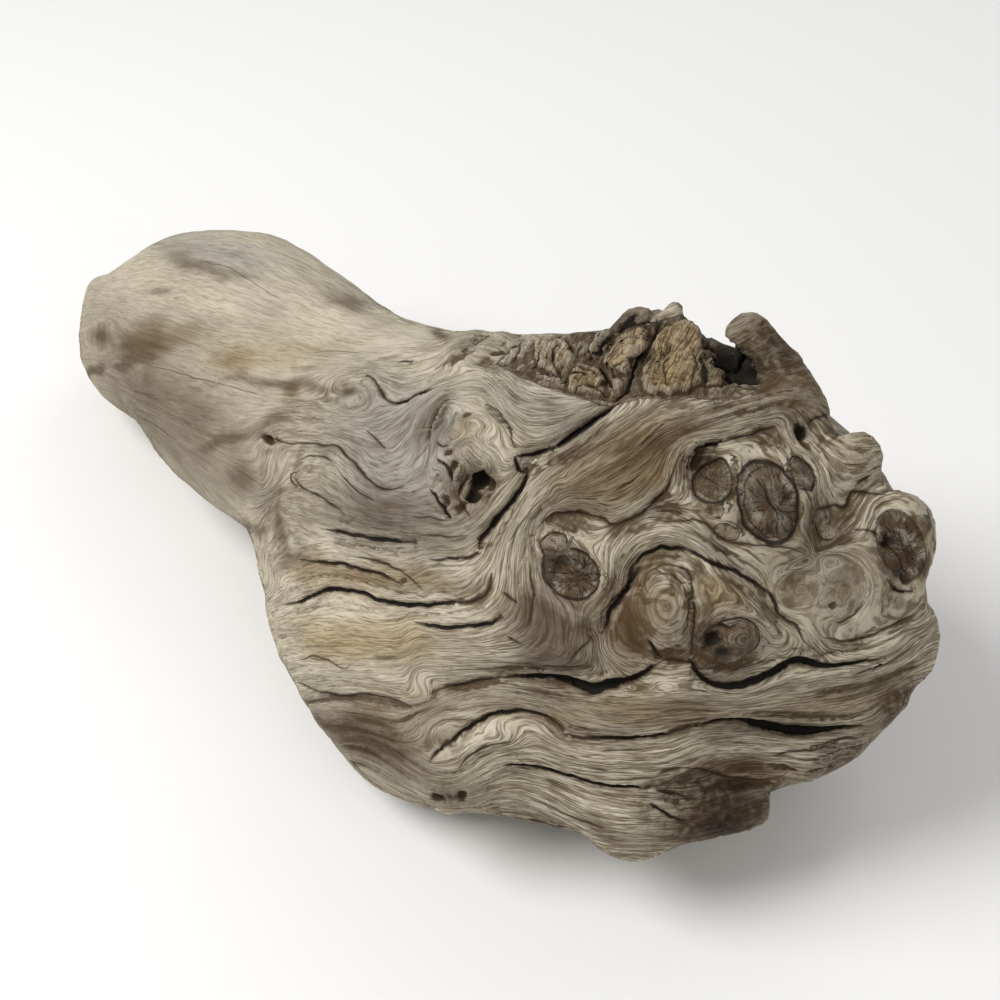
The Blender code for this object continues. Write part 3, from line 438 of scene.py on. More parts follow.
# Where the wood is warmer, greyer or darker, some of the darkness being painted shade in hollows and under the hem:
# place, reach across and along, tilt in degrees, and the three strengths.
TONE_PATCHES = {
    "trunk_brown_band": ((165, 332), 50, 15, 6, (0.35, 0.0, 0.32)),
    "trunk_top_crease": ((206, 265), 50, 7, -19, (0.1, 0.0, 0.5)),
    "trunk_left_crease": ((136, 361), 26, 5, 16, (0.1, 0.0, 0.3)),
    "trunk_left_spot": ((93, 371), 9, 5, 0, (0.0, 0.0, 0.7)),
    "trunk_eye_spot": ((101, 337), 9, 10, 0, (0.0, 0.0, 0.45)),
    "trunk_small_spot": ((158, 289), 7, 4, 10, (0.0, 0.0, 0.5)),
    "trunk_elbow": ((238, 366), 16, 14, -40, (0.4, 0.0, 0.15)),
    "trunk_long_streak": ((280, 383), 56, 5, -2, (0.2, 0.0, 0.55)),
    "trunk_ochre_spot": ((294, 391), 10, 6, 0, (0.5, 0.0, 0.4)),
    "trunk_low_streak": ((250, 427), 48, 6, 23, (0.1, 0.0, 0.45)),
    "trunk_blotches": ((172, 395), 46, 26, -30, (0.1, 0.1, 0.1)),
    "trunk_foot_streak": ((247, 529), 22, 5, -8, (0.2, 0.0, 0.6)),
    "trunk_foot_spots": ((240, 480), 14, 22, 0, (0.1, 0.0, 0.35)),
    "trunk_back_spots": ((350, 306), 18, 8, -20, (0.0, 0.0, 0.4)),
    # Painted shadow in the small pit at the end of the crest.
    "crest_end_painted_shadow": ((440, 334), 10, 6, -20, (0.0, 0.0, 1.0)),
    "trunk_sunlit_band": ((275, 350), 76, 22, 2, (0.4, 0.0, 0.0)),
    "trunk_rubbed_left": ((146, 348), 36, 12, 12, (0.35, 0.0, 0.25)),
    "trunk_top": ((215, 252), 90, 20, -14, (0.0, 0.6, 0.15)),
    "trunk_back_edge": ((345, 300), 60, 12, -32, (0.1, 0.0, 0.3)),
    "trunk_low_shade": ((180, 430), 120, 50, -46, (0.0, 0.2, 0.5)),
    "trunk_all": ((200, 360), 190, 120, -20, (0.05, 0.0, 0.35)),
    "plate_silver": ((400, 440), 74, 62, -10, (0.0, 0.85, 0.3)),
    "plate_low_silver": ((390, 520), 95, 34, -8, (0.0, 0.6, 0.7)),
    "whorl_warm": ((462, 440), 26, 36, 10, (0.35, 0.0, 0.0)),
    "whorl_dark": ((470, 488), 22, 22, 0, (0.1, 0.0, 0.75)),
    "whorl_dim": ((446, 470), 20, 50, 5, (0.0, 0.2, 0.1)),
    "oval_knot_brown": ((784, 498), 7, 10, 0, (0.0, 0.0, 0.8)),
    "oval_knot_low": ((768, 520), 10, 12, -30, (0.2, 0.0, 0.5)),
    "knots_grey": ((760, 500), 70, 52, -15, (0.05, 0.1, 0.3)),
    "crest_foot": ((735, 392), 50, 14, -16, (0.1, 0.0, 0.1)),
    "upper_silver": ((545, 412), 60, 26, -25, (0.0, 0.6, 0.4)),
    "left_ochre_layer": ((330, 575), 60, 20, -12, (0.5, 0.0, 0.15)),
    "layer_brown": ((425, 580), 60, 12, -8, (0.5, 0.0, 0.4)),
    "belly_ochre": ((370, 640), 90, 26, -4, (0.7, 0.0, -0.35)),
    "belly_low_ochre": ((400, 715), 60, 30, 20, (0.35, 0.0, 0.25)),
    "hem_left_shade": ((372, 742), 70, 26, -32, (0.3, 0.0, 0.85)),
    "middle_brown": ((612, 462), 84, 38, 32, (0.6, 0.0, 0.6)),
    "middle_brown_low": ((660, 470), 50, 14, 35, (0.3, 0.0, 0.2)),
    "middle_right": ((700, 430), 60, 20, 14, (0.2, 0.0, 0.3)),
    "grey_tongue": ((552, 628), 48, 56, 0, (0.0, 0.6, 0.95)),
    "layers_all": ((660, 580), 260, 200, 0, (0.0, 0.0, 0.12)),
    # Painted shadow on the front of the knob, behind the mossy slab.
    "knob_front_painted_shadow": ((629, 318), 26, 14, 20, (0.0, 0.0, 1.5)),
    "plate_dimple": ((349, 391), 8, 7, 0, (0.0, 0.2, 0.6)),
    "plate_dip": ((425, 432), 24, 18, 30, (0.0, 0.3, 0.3)),
    "boss_arc": ((318, 450), 34, 5, 0, (0.0, 0.0, 0.35)),
    "boss_side": ((300, 468), 5, 16, 0, (0.0, 0.0, 0.4)),
    "left_layer_shade": ((352, 576), 60, 12, -14, (0.1, 0.0, 0.35)),
    "left_layer_end": ((292, 556), 18, 12, 0, (0.0, 0.0, 0.5)),
    "plate_edge_crumbs": ((278, 528), 7, 22, 10, (0.0, 0.0, 0.6)),
    "belt_streaks": ((330, 656), 24, 5, 0, (0.1, 0.0, 0.4)),
    "belt_low_streaks": ((336, 724), 50, 7, -10, (0.2, 0.0, 0.5)),
    "belt_base_streaks": ((434, 742), 30, 8, 20, (0.2, 0.0, 0.4)),
    "whorl_arc_shade": ((438, 413), 20, 5, 59, (0.0, 0.0, 1.3)),
    "whorl_moss": ((466, 421), 9, 9, 0, (0.2, 0.0, 0.45)),
    # Painted shade in the big lobe's hollow.
    "lobe_hollow": ((736, 362), 24, 11, -42, (0.0, 0.0, 1.6)),
    "lobe_brown": ((770, 350), 50, 40, -20, (0.4, 0.0, 1.35)),
    "side_lobe_brown": ((810, 405), 26, 36, -30, (0.2, 0.0, 0.6)),
    # Painted shade in the nick.
    "nick": ((802, 434), 8, 10, 0, (0.0, 0.0, 1.2)),
    "spur_warm": ((850, 455), 24, 22, 0, (0.35, 0.0, 0.2)),
    "spur_dark": ((898, 556), 20, 38, -20, (0.0, 0.0, 0.75)),
    "eye_ochre": ((640, 612), 38, 46, 10, (0.6, 0.0, 0.6)),
    "eye_left_brown": ((622, 628), 18, 34, 0, (0.3, 0.0, 0.5)),
    "eye_right_brown": ((722, 598), 30, 16, -25, (0.7, 0.0, 0.25)),
    "knot_cluster_dark": ((722, 648), 34, 28, 0, (0.0, 0.1, 1.1)),
    "nodule_ochre": ((842, 592), 14, 12, 0, (0.55, 0.0, 0.15)),
    "right_grey": ((830, 560), 60, 60, 0, (0.05, 0.25, 0.45)),
    "end_grey": ((905, 640), 34, 44, 0, (0.1, 0.1, -1.1)),
    "slab_ochre": ((640, 712), 150, 18, -2, (0.55, 0.0, 0.35)),
    "slab_right_ochre": ((840, 700), 60, 18, 4, (0.45, 0.0, 0.3)),
    "hem_grey": ((540, 766), 60, 26, -20, (0.15, 0.15, 0.0)),
    "hem_brown": ((740, 768), 70, 12, -4, (0.5, 0.0, 0.3)),
    "chunk_pale": ((672, 800), 20, 17, 10, (0.2, 0.0, -0.9)),
    "chunk_left_dark": ((648, 808), 8, 20, -14, (0.0, 0.0, 0.6)),
    "right_end_pale": ((890, 668), 34, 18, -20, (0.1, 0.0, -0.5)),
    # The hem is darker underneath, partly dirt and partly painted shade. The underside of the end is painted shade.
    "hem_dirt_and_painted_shade": ((736, 812), 52, 38, 0, (0.2, 0.0, 1.6)),
    "hem_low_dark": ((690, 838), 60, 12, 6, (0.1, 0.0, 0.7)),
    "hem_low_left_dark": ((600, 832), 30, 9, -26, (0.1, 0.0, 0.7)),
    "hem_right_dark": ((846, 760), 56, 22, 38, (0.1, 0.0, 0.7)),
    "end_underside_painted_shade": ((908, 702), 26, 30, -20, (0.1, 0.0, 1.1)),
    "hem_nodule_dark": ((447, 799), 20, 12, 0, (0.0, 0.0, 0.7)),
    "sweep_mouth": ((590, 742), 60, 10, 0, (0.0, 0.0, 0.4)),
}

# The broken, crumbly wood along the crest, as an outline in the picture.
TORN_OUTLINE = [
    (498, 362), (520, 375), (545, 385), (572, 393), (590, 399), (612, 405), (640, 396), (669, 398),
    (690, 394), (706, 398), (728, 396), (740, 384), (733, 368), (712, 350), (700, 326), (688, 314), (660, 322),
    (640, 326), (610, 330), (596, 334), (580, 334), (556, 338), (530, 342), (512, 348),
]


# The slabs and blocks that the crest is broken into: outline in the picture, how far each stands up in
# millimetres, and its three tones.
SLABS = {
    "crown_mound": ([(458, 363), (465, 351), (482, 338), (517, 331), (533, 337), (530, 347), (521, 356), (506, 361),
                     (480, 360)], 1.4, (0.25, 0.3, 0.05)),
    "first_block": ([(533, 357), (537, 339), (560, 338), (569, 347), (572, 361), (564, 369), (552, 372), (540, 368)],
                    2.2, (0.5, 0.0, -0.1)),
    "red_block": ([(564, 334), (574, 330), (591, 332), (594, 340), (589, 355), (581, 354), (570, 346)],
                  2.0, (0.2, 0.0, 0.9)),
    "pale_block": ([(594, 333), (604, 328), (612, 331), (612, 341), (599, 352), (592, 358)], 2.6, (0.0, 0.5, -0.3)),
    "mossy_slab": ([(601, 362), (614, 343), (626, 332), (642, 325), (647, 332), (644, 344), (633, 359), (627, 375),
                    (614, 374)], 3.8, (0.75, 0.0, -0.8)),
    "gold_slab": ([(641, 378), (650, 347), (662, 333), (686, 321), (693, 324), (699, 334), (703, 353), (700, 364),
                   (702, 382), (686, 391), (669, 396), (648, 392)], 3.4, (0.75, 0.0, -1.0)),
    "base_block": ([(566, 373), (574, 366), (587, 365), (603, 371), (607, 382), (603, 392), (591, 394), (577, 390),
                    (567, 385)], 2.2, (0.7, 0.0, -0.2)),
    "base_chip": ([(609, 377), (618, 379), (624, 384), (618, 392), (612, 396), (607, 390)], 1.8, (0.4, 0.0, 0.35)),
    "left_chip": ([(534, 370), (548, 375), (562, 377), (562, 387), (550, 385), (536, 379)], 1.4, (0.3, 0.1, 0.2)),
    "right_chip": ([(712, 338), (722, 350), (728, 368), (722, 384), (708, 382), (706, 364), (704, 350)],
                   1.8, (0.4, 0.1, 0.25)),
    "foot_chip": ([(706, 387), (722, 386), (738, 380), (742, 392), (728, 399), (712, 400)], 1.4, (0.2, 0.2, 0.25)),
}

# The smooth, rubbed trunk left of the plate's broken edge, as an outline in the picture.
TRUNK_OUTLINE = [
    (-200, 900), (60, 800), (262, 610), (260, 545), (270, 500), (264, 440), (280, 408), (330, 392),
    (380, 364), (440, 345), (470, 330), (470, 60), (-200, 60),
]


# Name, description and hex code of every colour. Some also serve as painted shade: brown in the fine hollows, grain
# shade in the broad hollows, and crack inside cracks, checks and the deepest hollows. Crack also darkens the hearts
# of knots.
COLOURS = {
    "pale": ("Pale skin", "Bleached ridges", "CEC4AF"),
    "shade": ("Grain shade", "Darker streaks between the ridges", "6E6147"),
    "silver": ("Silver grey", "Sun-silvered wood", "B4B3AB"),
    "ochre": ("Ochre", "Warm wood where the skin is thin", "A28450"),
    "brown": ("Brown wood and painted shade", "Old damp wood, and painted shade in the hollows", "453119"),
    "knot": ("Knot", "Dense dark wood of the knots", "4D443B"),
    "crack": ("Crack", "The inside of cracks", "110C07"),
    "floor": ("Floor", "Plain pale floor", "F4F3F1"),
}


def linear(code):
    """A hex colour as the linear red, green and blue that shaders use."""
    parts = [int(code[i:i + 2], 16) / 255 for i in (0, 2, 4)]
    return [p / 12.92 if p <= 0.04045 else ((p + 0.055) / 1.055) ** 2.4 for p in parts]


class DriftwoodSizes(bpy.types.PropertyGroup):
    """Sizes of the skin and its relief."""

    skin_cell: bpy.props.FloatProperty(
        name="Skin cell", description="Cell size of the skin before its detail is added",
        default=2.7 * MM, min=1.5 * MM, unit="LENGTH")
    ridge_height: bpy.props.FloatProperty(
        name="Ridge height", description="Height of the broad ridges along the grain",
        default=0.75 * MM, min=0.0, unit="LENGTH")
    crack_depth: bpy.props.FloatProperty(
        name="Crack depth", description="Share of each crack's own depth that is carved",
        default=1.0, min=0.0, subtype="FACTOR")
    torn_height: bpy.props.FloatProperty(
        name="Torn height", description="Height of the broken chunks along the crest",
        default=1.6 * MM, min=0.0, unit="LENGTH")


class DriftwoodColours(bpy.types.PropertyGroup):
    """Colours of the weathered wood."""

    __annotations__ = {
        name: bpy.props.FloatVectorProperty(
            name=label, description=about, subtype="COLOR", min=0, max=1, default=linear(code))
        for name, (label, about, code) in COLOURS.items()
    }


def smooth(values, low, high):
    """0 below low and 1 above high, with a soft turn between them."""
    share = np.clip((values - low) / (high - low), 0, 1)
    return share * share * (3 - 2 * share)


def picture(points):
    """Where points lie in the picture, in pixels."""
    away = points - VIEW_TARGET
    depth = VIEW_DISTANCE - away @ BACK
    return np.stack([PICTURE_MIDDLE + FOCAL_PIXELS * (away @ RIGHT) / depth,
                     PICTURE_MIDDLE - FOCAL_PIXELS * (away @ UP) / depth], 1)


def noise_at(points, size, seed=0.0):
    """Smooth noise from -1 to 1, with lumps of about this size."""
    places = np.asarray(points, float) / size + seed
    return np.fromiter((noise.noise(p) for p in places.tolist()), float, len(places))


def ragged_picture(points, size, seeds, reach):
    """Where points lie in the picture, moved about by noise so that what is drawn there has ragged edges."""
    return picture(points) + reach * np.stack([noise_at(points, size, seed) for seed in seeds], 1)


def oval_square(pixels, place, wide, tall, tilt):
    """Squared distance from the middle of a tilted oval of the picture, 1 on its edge."""
    angle = math.radians(-tilt)
    off = pixels - place
    u = (off @ (math.cos(angle), math.sin(angle))) / wide
    v = (off @ (-math.sin(angle), math.cos(angle))) / tall
    return u * u + v * v


def patch_weight(pixels, place, wide, tall, tilt):
    """1 in the middle of an oval patch of the picture, fading to 0 past its edge."""
    return np.exp(-oval_square(pixels, place, wide, tall, tilt) ** 1.5 * 0.8)


def curve_through(points, step):
    """Points a step apart along a smooth curve through the given ones."""
    points = np.asarray(points, float)
    ends = np.vstack([2 * points[0] - points[1], points, 2 * points[-1] - points[-2]])
    rows = []
    for i in range(1, len(ends) - 2):
        a, b, c, d = ends[i - 1:i + 3]
        count = max(2, int(np.linalg.norm(c - b) / step) + 1)
        for t in np.arange(count) / count:
            rows.append(0.5 * (2 * b + (c - a) * t + (2 * a - 5 * b + 4 * c - d) * t ** 2
                               + (3 * b - a - 3 * c + d) * t ** 3))
    rows.append(points[-1])
    return np.array(rows)


def seen_point(tree, pixel):
    """The point and normal of the skin that the viewpoint sees at a pixel, or nearest to one just off it."""
    way = (-BACK + RIGHT * (pixel[0] - PICTURE_MIDDLE) / FOCAL_PIXELS
           - UP * (pixel[1] - PICTURE_MIDDLE) / FOCAL_PIXELS)
    hit, normal, _, _ = tree.ray_cast(Vector(EYE), Vector(way).normalized())
    if hit is None:
        hit, normal, _, _ = tree.find_nearest(Vector(EYE + way * VIEW_DISTANCE))
    return np.array(hit), np.array(normal)


def hidden_point(tree, place):
    """The point and normal of the skin at an x and an angle round the middle line in degrees."""
    x, angle = place[0], math.radians(place[1])
    centre = np.array([np.interp(x, AXIS[:, 0], AXIS[:, i]) for i in range(3)]) + SHIFT
    way = CREST_WAY * math.cos(angle) + FACE_WAY * math.sin(angle)
    hit, normal, _, _ = tree.ray_cast(Vector(centre + OUTSIDE * way), Vector(-way))
    if hit is None:
        hit, normal, _, _ = tree.find_nearest(Vector(centre))
    return np.array(hit), np.array(normal)


def lay_cracks(tree):
    """Every crack as points along it: place, way along and across it, half-width, depth, owner and reach along it."""
    rows = []
    for finder, step, lump, cracks in ((seen_point, 1.3, 9.0, CRACKS), (hidden_point, 1.4, 14.0, HIDDEN_CRACKS)):
        for number, (half, depth, route) in enumerate(cracks.values()):
            thin = half < MOUTH
            walk = curve_through(route, step)
            wander = noise_at(np.column_stack([walk, np.full(len(walk), 7.3 * number)]), lump)
            at, normal = (np.array(part) for part in zip(*(finder(tree, p) for p in walk)))
            side = np.cross(np.gradient(at, axis=0), normal)
            side /= np.linalg.norm(side, axis=1)[:, None] + 1e-9
            at += side * ((0.5 if thin else 0.2) * wander)[:, None]
            along = np.gradient(at, axis=0)
            spacing = np.linalg.norm(along, axis=1) + 1e-9
            taper = np.sin(np.pi * np.linspace(0, 1, len(at))) ** (0.4 if thin else 0.9)
            taper *= 0.85 + (0.35 if thin else 0.12) * noise_at(at, 6.0, 3.0 * number)
            rows.append((at, along / spacing[:, None], side, half * taper, depth * taper,
                         np.full(len(at), len(rows)), 0.6 * spacing))
    return [np.concatenate(part) for part in zip(*rows)]


def nearest(tree, points):
    """For each point, which of the tree's points is nearest and how far it is."""
    found = [tree.find(p) for p in points.tolist()]
    return np.array([f[1] for f in found]), np.array([f[2] for f in found])


def points_tree(points):
    """A search tree of the points, for nearest."""
    tree = KDTree(len(points))
    for i, p in enumerate(points.tolist()):
        tree.insert(p, i)
    tree.balance()
    return tree


def inside_outline(pixels, outline):
    """How far inside a closed outline each pixel lies, in pixels, and less than 0 outside it."""
    ring = np.asarray(list(outline) + [outline[0]], float)
    far = np.full(len(pixels), 1e9)
    inside = np.zeros(len(pixels), bool)
    for (ax, ay), (bx, by) in zip(ring[:-1], ring[1:]):
        run = np.array([bx - ax, by - ay])
        share = np.clip(((pixels - (ax, ay)) @ run) / (run @ run), 0, 1)
        off = pixels - (ax, ay) - share[:, None] * run
        far = np.minimum(far, np.hypot(off[:, 0], off[:, 1]))
        if ay == by:
            continue
        crosses = (ay > pixels[:, 1]) != (by > pixels[:, 1])
        inside ^= crosses & (pixels[:, 0] < (bx - ax) * (pixels[:, 1] - ay) / (by - ay) + ax)
    return np.where(inside, far, -far)


def grain_sheet(lines, pixels):
    """The distance across the grain at each pixel, from a smooth sheet through the grain lines."""
    knots, values = [], []
    for value, route in lines:
        walk = curve_through(route, 13.0)
        knots.append(walk)
        values.append(np.full(len(walk), float(value)))
    knots, values = np.vstack(knots) / 100, np.concatenate(values)

    def kernel(a, b):
        """How strongly each point of one set bends the sheet at each point of the other."""
        square = ((a[:, None, :] - b[None, :, :]) ** 2).sum(2)
        return 0.5 * square * np.log(square + 1e-9)

    count = len(knots)
    system = np.zeros((count + 3, count + 3))
    system[:count, :count] = kernel(knots, knots) + 0.004 * np.eye(count)
    system[:count, count:] = np.column_stack([np.ones(count), knots])
    system[count:, :count] = system[:count, count:].T
    weights = np.linalg.solve(system, np.concatenate([values, np.zeros(3)]))
    result = np.empty(len(pixels))
    for start in range(0, len(pixels), 4000):
        part = pixels[start:start + 4000] / 100
        result[start:start + 4000] = (kernel(part, knots) @ weights[:count]
                                      + np.column_stack([np.ones(len(part)), part]) @ weights[count:])
    return result


def skin_axes(normal, direction):
    """Two ways along the skin that are square to each other, the first at this angle in the picture, in degrees."""
    angle = math.radians(direction)
    way = RIGHT * math.cos(angle) + UP * math.sin(angle)
    along = way - normal * (way @ normal)
    along /= np.linalg.norm(along)
    return along, np.cross(normal, along)


def knot_frames(tree):
    """Each knot's middle, its two half-axes on the skin, its normal and its look."""
    frames = []
    for finder, knots in ((seen_point, KNOTS), (hidden_point, HIDDEN_KNOTS)):
        for place, half_long, half_short, direction, *look in knots.values():
            centre, normal = finder(tree, place)
            along, side = skin_axes(normal, direction)
            frames.append((centre, along / half_long, side / half_short, normal,
                           max(half_long, half_short), finder is seen_point, look))
    return frames


def spread_values(values, known, edges, rounds):
    """Fills unknown values so that each is the mean of its neighbours, by conjugate gradients."""
    count = len(values)
    a, b = edges[:, 0], edges[:, 1]
    degree = np.bincount(a, minlength=count) + np.bincount(b, minlength=count)
    free = ~known

    def laplacian(x):
        """How far each value is from the mean of its neighbours, times their number."""
        return degree * x - np.bincount(a, x[b], count) - np.bincount(b, x[a], count)

    x = np.where(known, values, values[known].mean())
    residual = np.where(free, -laplacian(x), 0)
    search = residual / np.maximum(degree, 1)
    scaled = search.copy()
    energy = residual @ scaled
    for _ in range(rounds):
        pushed = np.where(free, laplacian(search), 0)
        bottom = search @ pushed
        if bottom <= 1e-12 or energy < 1e-6:
            break
        step = energy / bottom
        x += step * search
        residual -= step * pushed
        scaled = residual / np.maximum(degree, 1)
        grown = residual @ scaled
        search = scaled + grown / energy * search
        energy = grown
    return x


def relax(values, edges, rounds):
    """Values averaged with their neighbours again and again."""
    count = len(values)
    a, b = edges[:, 0], edges[:, 1]
    degree = (np.bincount(a, minlength=count) + np.bincount(b, minlength=count)).astype(float)
    for _ in range(rounds):
        mean = np.stack([(np.bincount(a, values[b, i], count) + np.bincount(b, values[a, i], count)) / degree
                         for i in range(values.shape[1])], 1)
        values = 0.4 * values + 0.6 * mean
    return values


def read(items, name, width, kind=float):
    """One property of every item of a mesh, as an array of this many columns."""
    flat = np.empty(len(items) * width, kind)
    items.foreach_get(name, flat)
    return flat.reshape(-1, width)


def read_points(mesh):
    """The vertices' places in millimetres and their normals."""
    return read(mesh.vertices, "co", 3) / MM, read(mesh.vertices, "normal", 3)


def keep(mesh, name, values):
    """Stores one number or three per vertex under a name that the wood's shader reads."""
    kind = "FLOAT" if values.ndim == 1 else "FLOAT_VECTOR"
    field = mesh.attributes.new(name, kind, "POINT")
    field.data.foreach_set("value" if values.ndim == 1 else "vector", values.astype(np.float32).ravel())


def coarse_skin(cell):
    """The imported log's mesh, merged, rounded and cut into even cells."""
    bm = bmesh.new()
    bm.from_mesh(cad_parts["driftwood_log"].data)
    bmesh.ops.remove_doubles(bm, verts=bm.verts, dist=1e-6)
    mesh = bpy.data.meshes.new("weathered_log")
    bm.to_mesh(mesh)
    bm.free()
    log = bpy.data.objects.new("weathered_log", mesh)
    bpy.context.scene.collection.objects.link(log)
    rounding = log.modifiers.new("rounding", "SUBSURF")
    rounding.levels = rounding.render_levels = 1
    cells = log.modifiers.new("cells", "REMESH")
    cells.mode = "VOXEL"
    cells.voxel_size = cell
    made = bpy.data.meshes.new_from_object(log.evaluated_get(bpy.context.evaluated_depsgraph_get()))
    log.modifiers.clear()
    log.data = made
    bpy.data.meshes.remove(mesh)
    made.name = "weathered_log"
    return log


def split_cells(mesh, wanted):
    """Halves the edges whose two ends are both wanted."""
    bm = bmesh.new()
    bm.from_mesh(mesh)
    bm.verts.ensure_lookup_table()
    edges = [e for e in bm.edges if wanted[e.verts[0].index] and wanted[e.verts[1].index]]
    bmesh.ops.subdivide_edges(bm, edges=edges, cuts=1, use_grid_fill=True)
    bmesh.ops.triangulate(bm, faces=[f for f in bm.faces if len(f.verts) > 4])
    bm.to_mesh(mesh)
    bm.free()


def front_facing(points, normals):
    """How squarely the skin faces the viewpoint, from -1 to 1."""
    to_eye = EYE - points
    to_eye /= np.linalg.norm(to_eye, axis=1)[:, None]
    return (normals * to_eye).sum(1)


def grain_field(mesh, points, normals, frames):
    """The distance across the grain at every vertex, in millimetres."""
    pixels = picture(points)
    facing = front_facing(points, normals)
    bent = pixels.copy()
    for place, half_long, half_short, direction, *_ in KNOTS.values():
        wide, tall = (half * PIXELS_PER_MM * 1.15 for half in (half_long, half_short))
        square = oval_square(pixels, place, wide, tall, direction)
        pull = np.minimum(1, 1 / np.maximum(square, 1e-6)) * np.exp(-np.maximum(np.sqrt(square) - 1, 0) / 1.2)
        bent -= (pixels - place) * pull[:, None]
    on_plate = inside_outline(pixels, PLATE_OUTLINE) > 0
    seen = facing > -0.1
    grain = np.zeros(len(points))
    for rows, lines in ((on_plate & seen, PLATE_GRAIN), (~on_plate & seen, LAYER_GRAIN)):
        grain[rows] = grain_sheet(lines, bent[rows])
    torn = (inside_outline(pixels, TORN_OUTLINE) > -1) & seen
    grain[torn] = (pixels[torn] @ (0.9, 0.45)) * 0.38
    known = facing > 0.18
    grain += 7 * patch_weight(pixels, (464, 446), 34, 44, 0) * noise_at(points, 8.0, 107.0)
    grain = spread_values(grain, known, read(mesh.edges, "vertices", 2, int), 900)
    grain += (1 - smooth(facing, -0.25, 0.3)) * 9 * noise_at(points, 38.0, 5.0)
    for centre, *_, reach, is_seen, _ in frames:
        if not is_seen:
            far = np.linalg.norm(points - centre, axis=1) / reach
            grain += 26 * np.exp(-(far / 1.7) ** 2)
    return grain


def knot_fields(points, frames):
    """Place within the nearest knot and how much of it is there, its look, its rim and how far off it is."""
    best = np.full(len(points), 1e9)
    within = np.zeros((len(points), 3))
    look = np.zeros((len(points), 3))
    rim = np.zeros(len(points))
    for centre, along, side, normal, reach, _, (dark, checks, rings, edge) in frames:
        off = points - centre
        u, v, w = off @ along, off @ side, (off @ normal) / reach
        far = np.sqrt(u * u + v * v + 0.3 * w * w)
        closer = far < best
        best[closer] = far[closer]
        within[closer] = np.stack([u, v, 1 - smooth(far, 1.25, 1.6)], 1)[closer]
        look[closer] = (dark, checks, rings)
        rim[closer] = edge
    within[:, :2] *= (1 + 0.07 * noise_at(points, 5.0, 29.0) + 0.03 * noise_at(points, 2.0, 37.0))[:, None]
    return within, look, rim, best


def rough_field(points, shown):
    """How crumbled the surface is, from the named patches and at random on the hidden sides."""
    pixels = ragged_picture(points, 9.0, (43.0, 47.0), 8)
    rough = np.zeros(len(points))
    for place, wide, tall, tilt, strength in ROUGH_PATCHES.values():
        rough = np.maximum(rough, strength * patch_weight(pixels, place, wide, tall, tilt) * shown)
    return np.maximum(rough, (1 - shown) * 0.8 * smooth(noise_at(points, 30.0, 53.0), 0.05, 0.5))


def slab_fields(points, shown):
    """How far the crest's slabs stand up, how much of a slab is there, and its tones."""
    pixels = ragged_picture(points, 4.0, (97.0, 101.0), 4)
    proud = np.zeros(len(points))
    cover = np.zeros(len(points))
    tones = np.zeros((len(points), 3))
    for outline, rise, tone in SLABS.values():
        weight = smooth(inside_outline(pixels, outline), -1.5, 2.5) * shown
        proud = np.maximum(proud, rise * weight)
        cover = np.maximum(cover, weight)
        tones += weight[:, None] * tone
    return proud, cover, tones


def sink_hollows(points, tree):
    """How deep each point lies in the named hollows, in millimetres."""
    ragged = 0.34 * noise_at(points, 3.2, 83.0) + 0.2 * noise_at(points, 1.5, 89.0)
    sunk = np.zeros(len(points))
    for place, half_long, half_short, direction, depth in HOLLOWS.values():
        centre, normal = seen_point(tree, place)
        along, side = skin_axes(normal, direction)
        off = points - centre
        u, v, w = off @ along / half_long, off @ side / half_short, off @ normal / 9.0
        far = np.sqrt(u * u + v * v + w * w)
        sunk = np.maximum(sunk, depth * (1 - smooth(far + ragged, 0.3, 1.2)))
    return sunk


def tone_field(points, normals, sunk, gaps):
    """How ochre, silver and dark the wood is, from the named patches, with painted shade in the hollows, in the gaps
    between slabs and on the hidden undersides.
    """
    pixels = ragged_picture(points, 16.0, (2.0, 11.0), 9)
    shown = smooth(front_facing(points, normals), -0.1, 0.15)
    tones = np.zeros((len(points), 3))
    for place, wide, tall, tilt, strength in TONE_PATCHES.values():
        tones += (patch_weight(pixels, place, wide, tall, tilt) * shown)[:, None] * strength
    # Painted shade: darker in the carved hollows and in the gaps between the crest's slabs.
    tones[:, 2] += 1.6 * smooth(sunk, 0.3, 3.0) + 0.85 * gaps
    hidden = 1 - shown
    tones[:, 0] += hidden * (0.25 + 0.3 * noise_at(points, 45.0, 21.0))
    tones[:, 1] += hidden * (0.25 + 0.4 * noise_at(points, 60.0, 31.0))
    # The hidden sides get random darkness, plus painted shade that grows the more the skin faces down.
    tones[:, 2] += hidden * (0.15 + 0.25 * noise_at(points, 50.0, 41.0) - 0.5 * normals[:, 2].clip(-1, 0))
    return tones


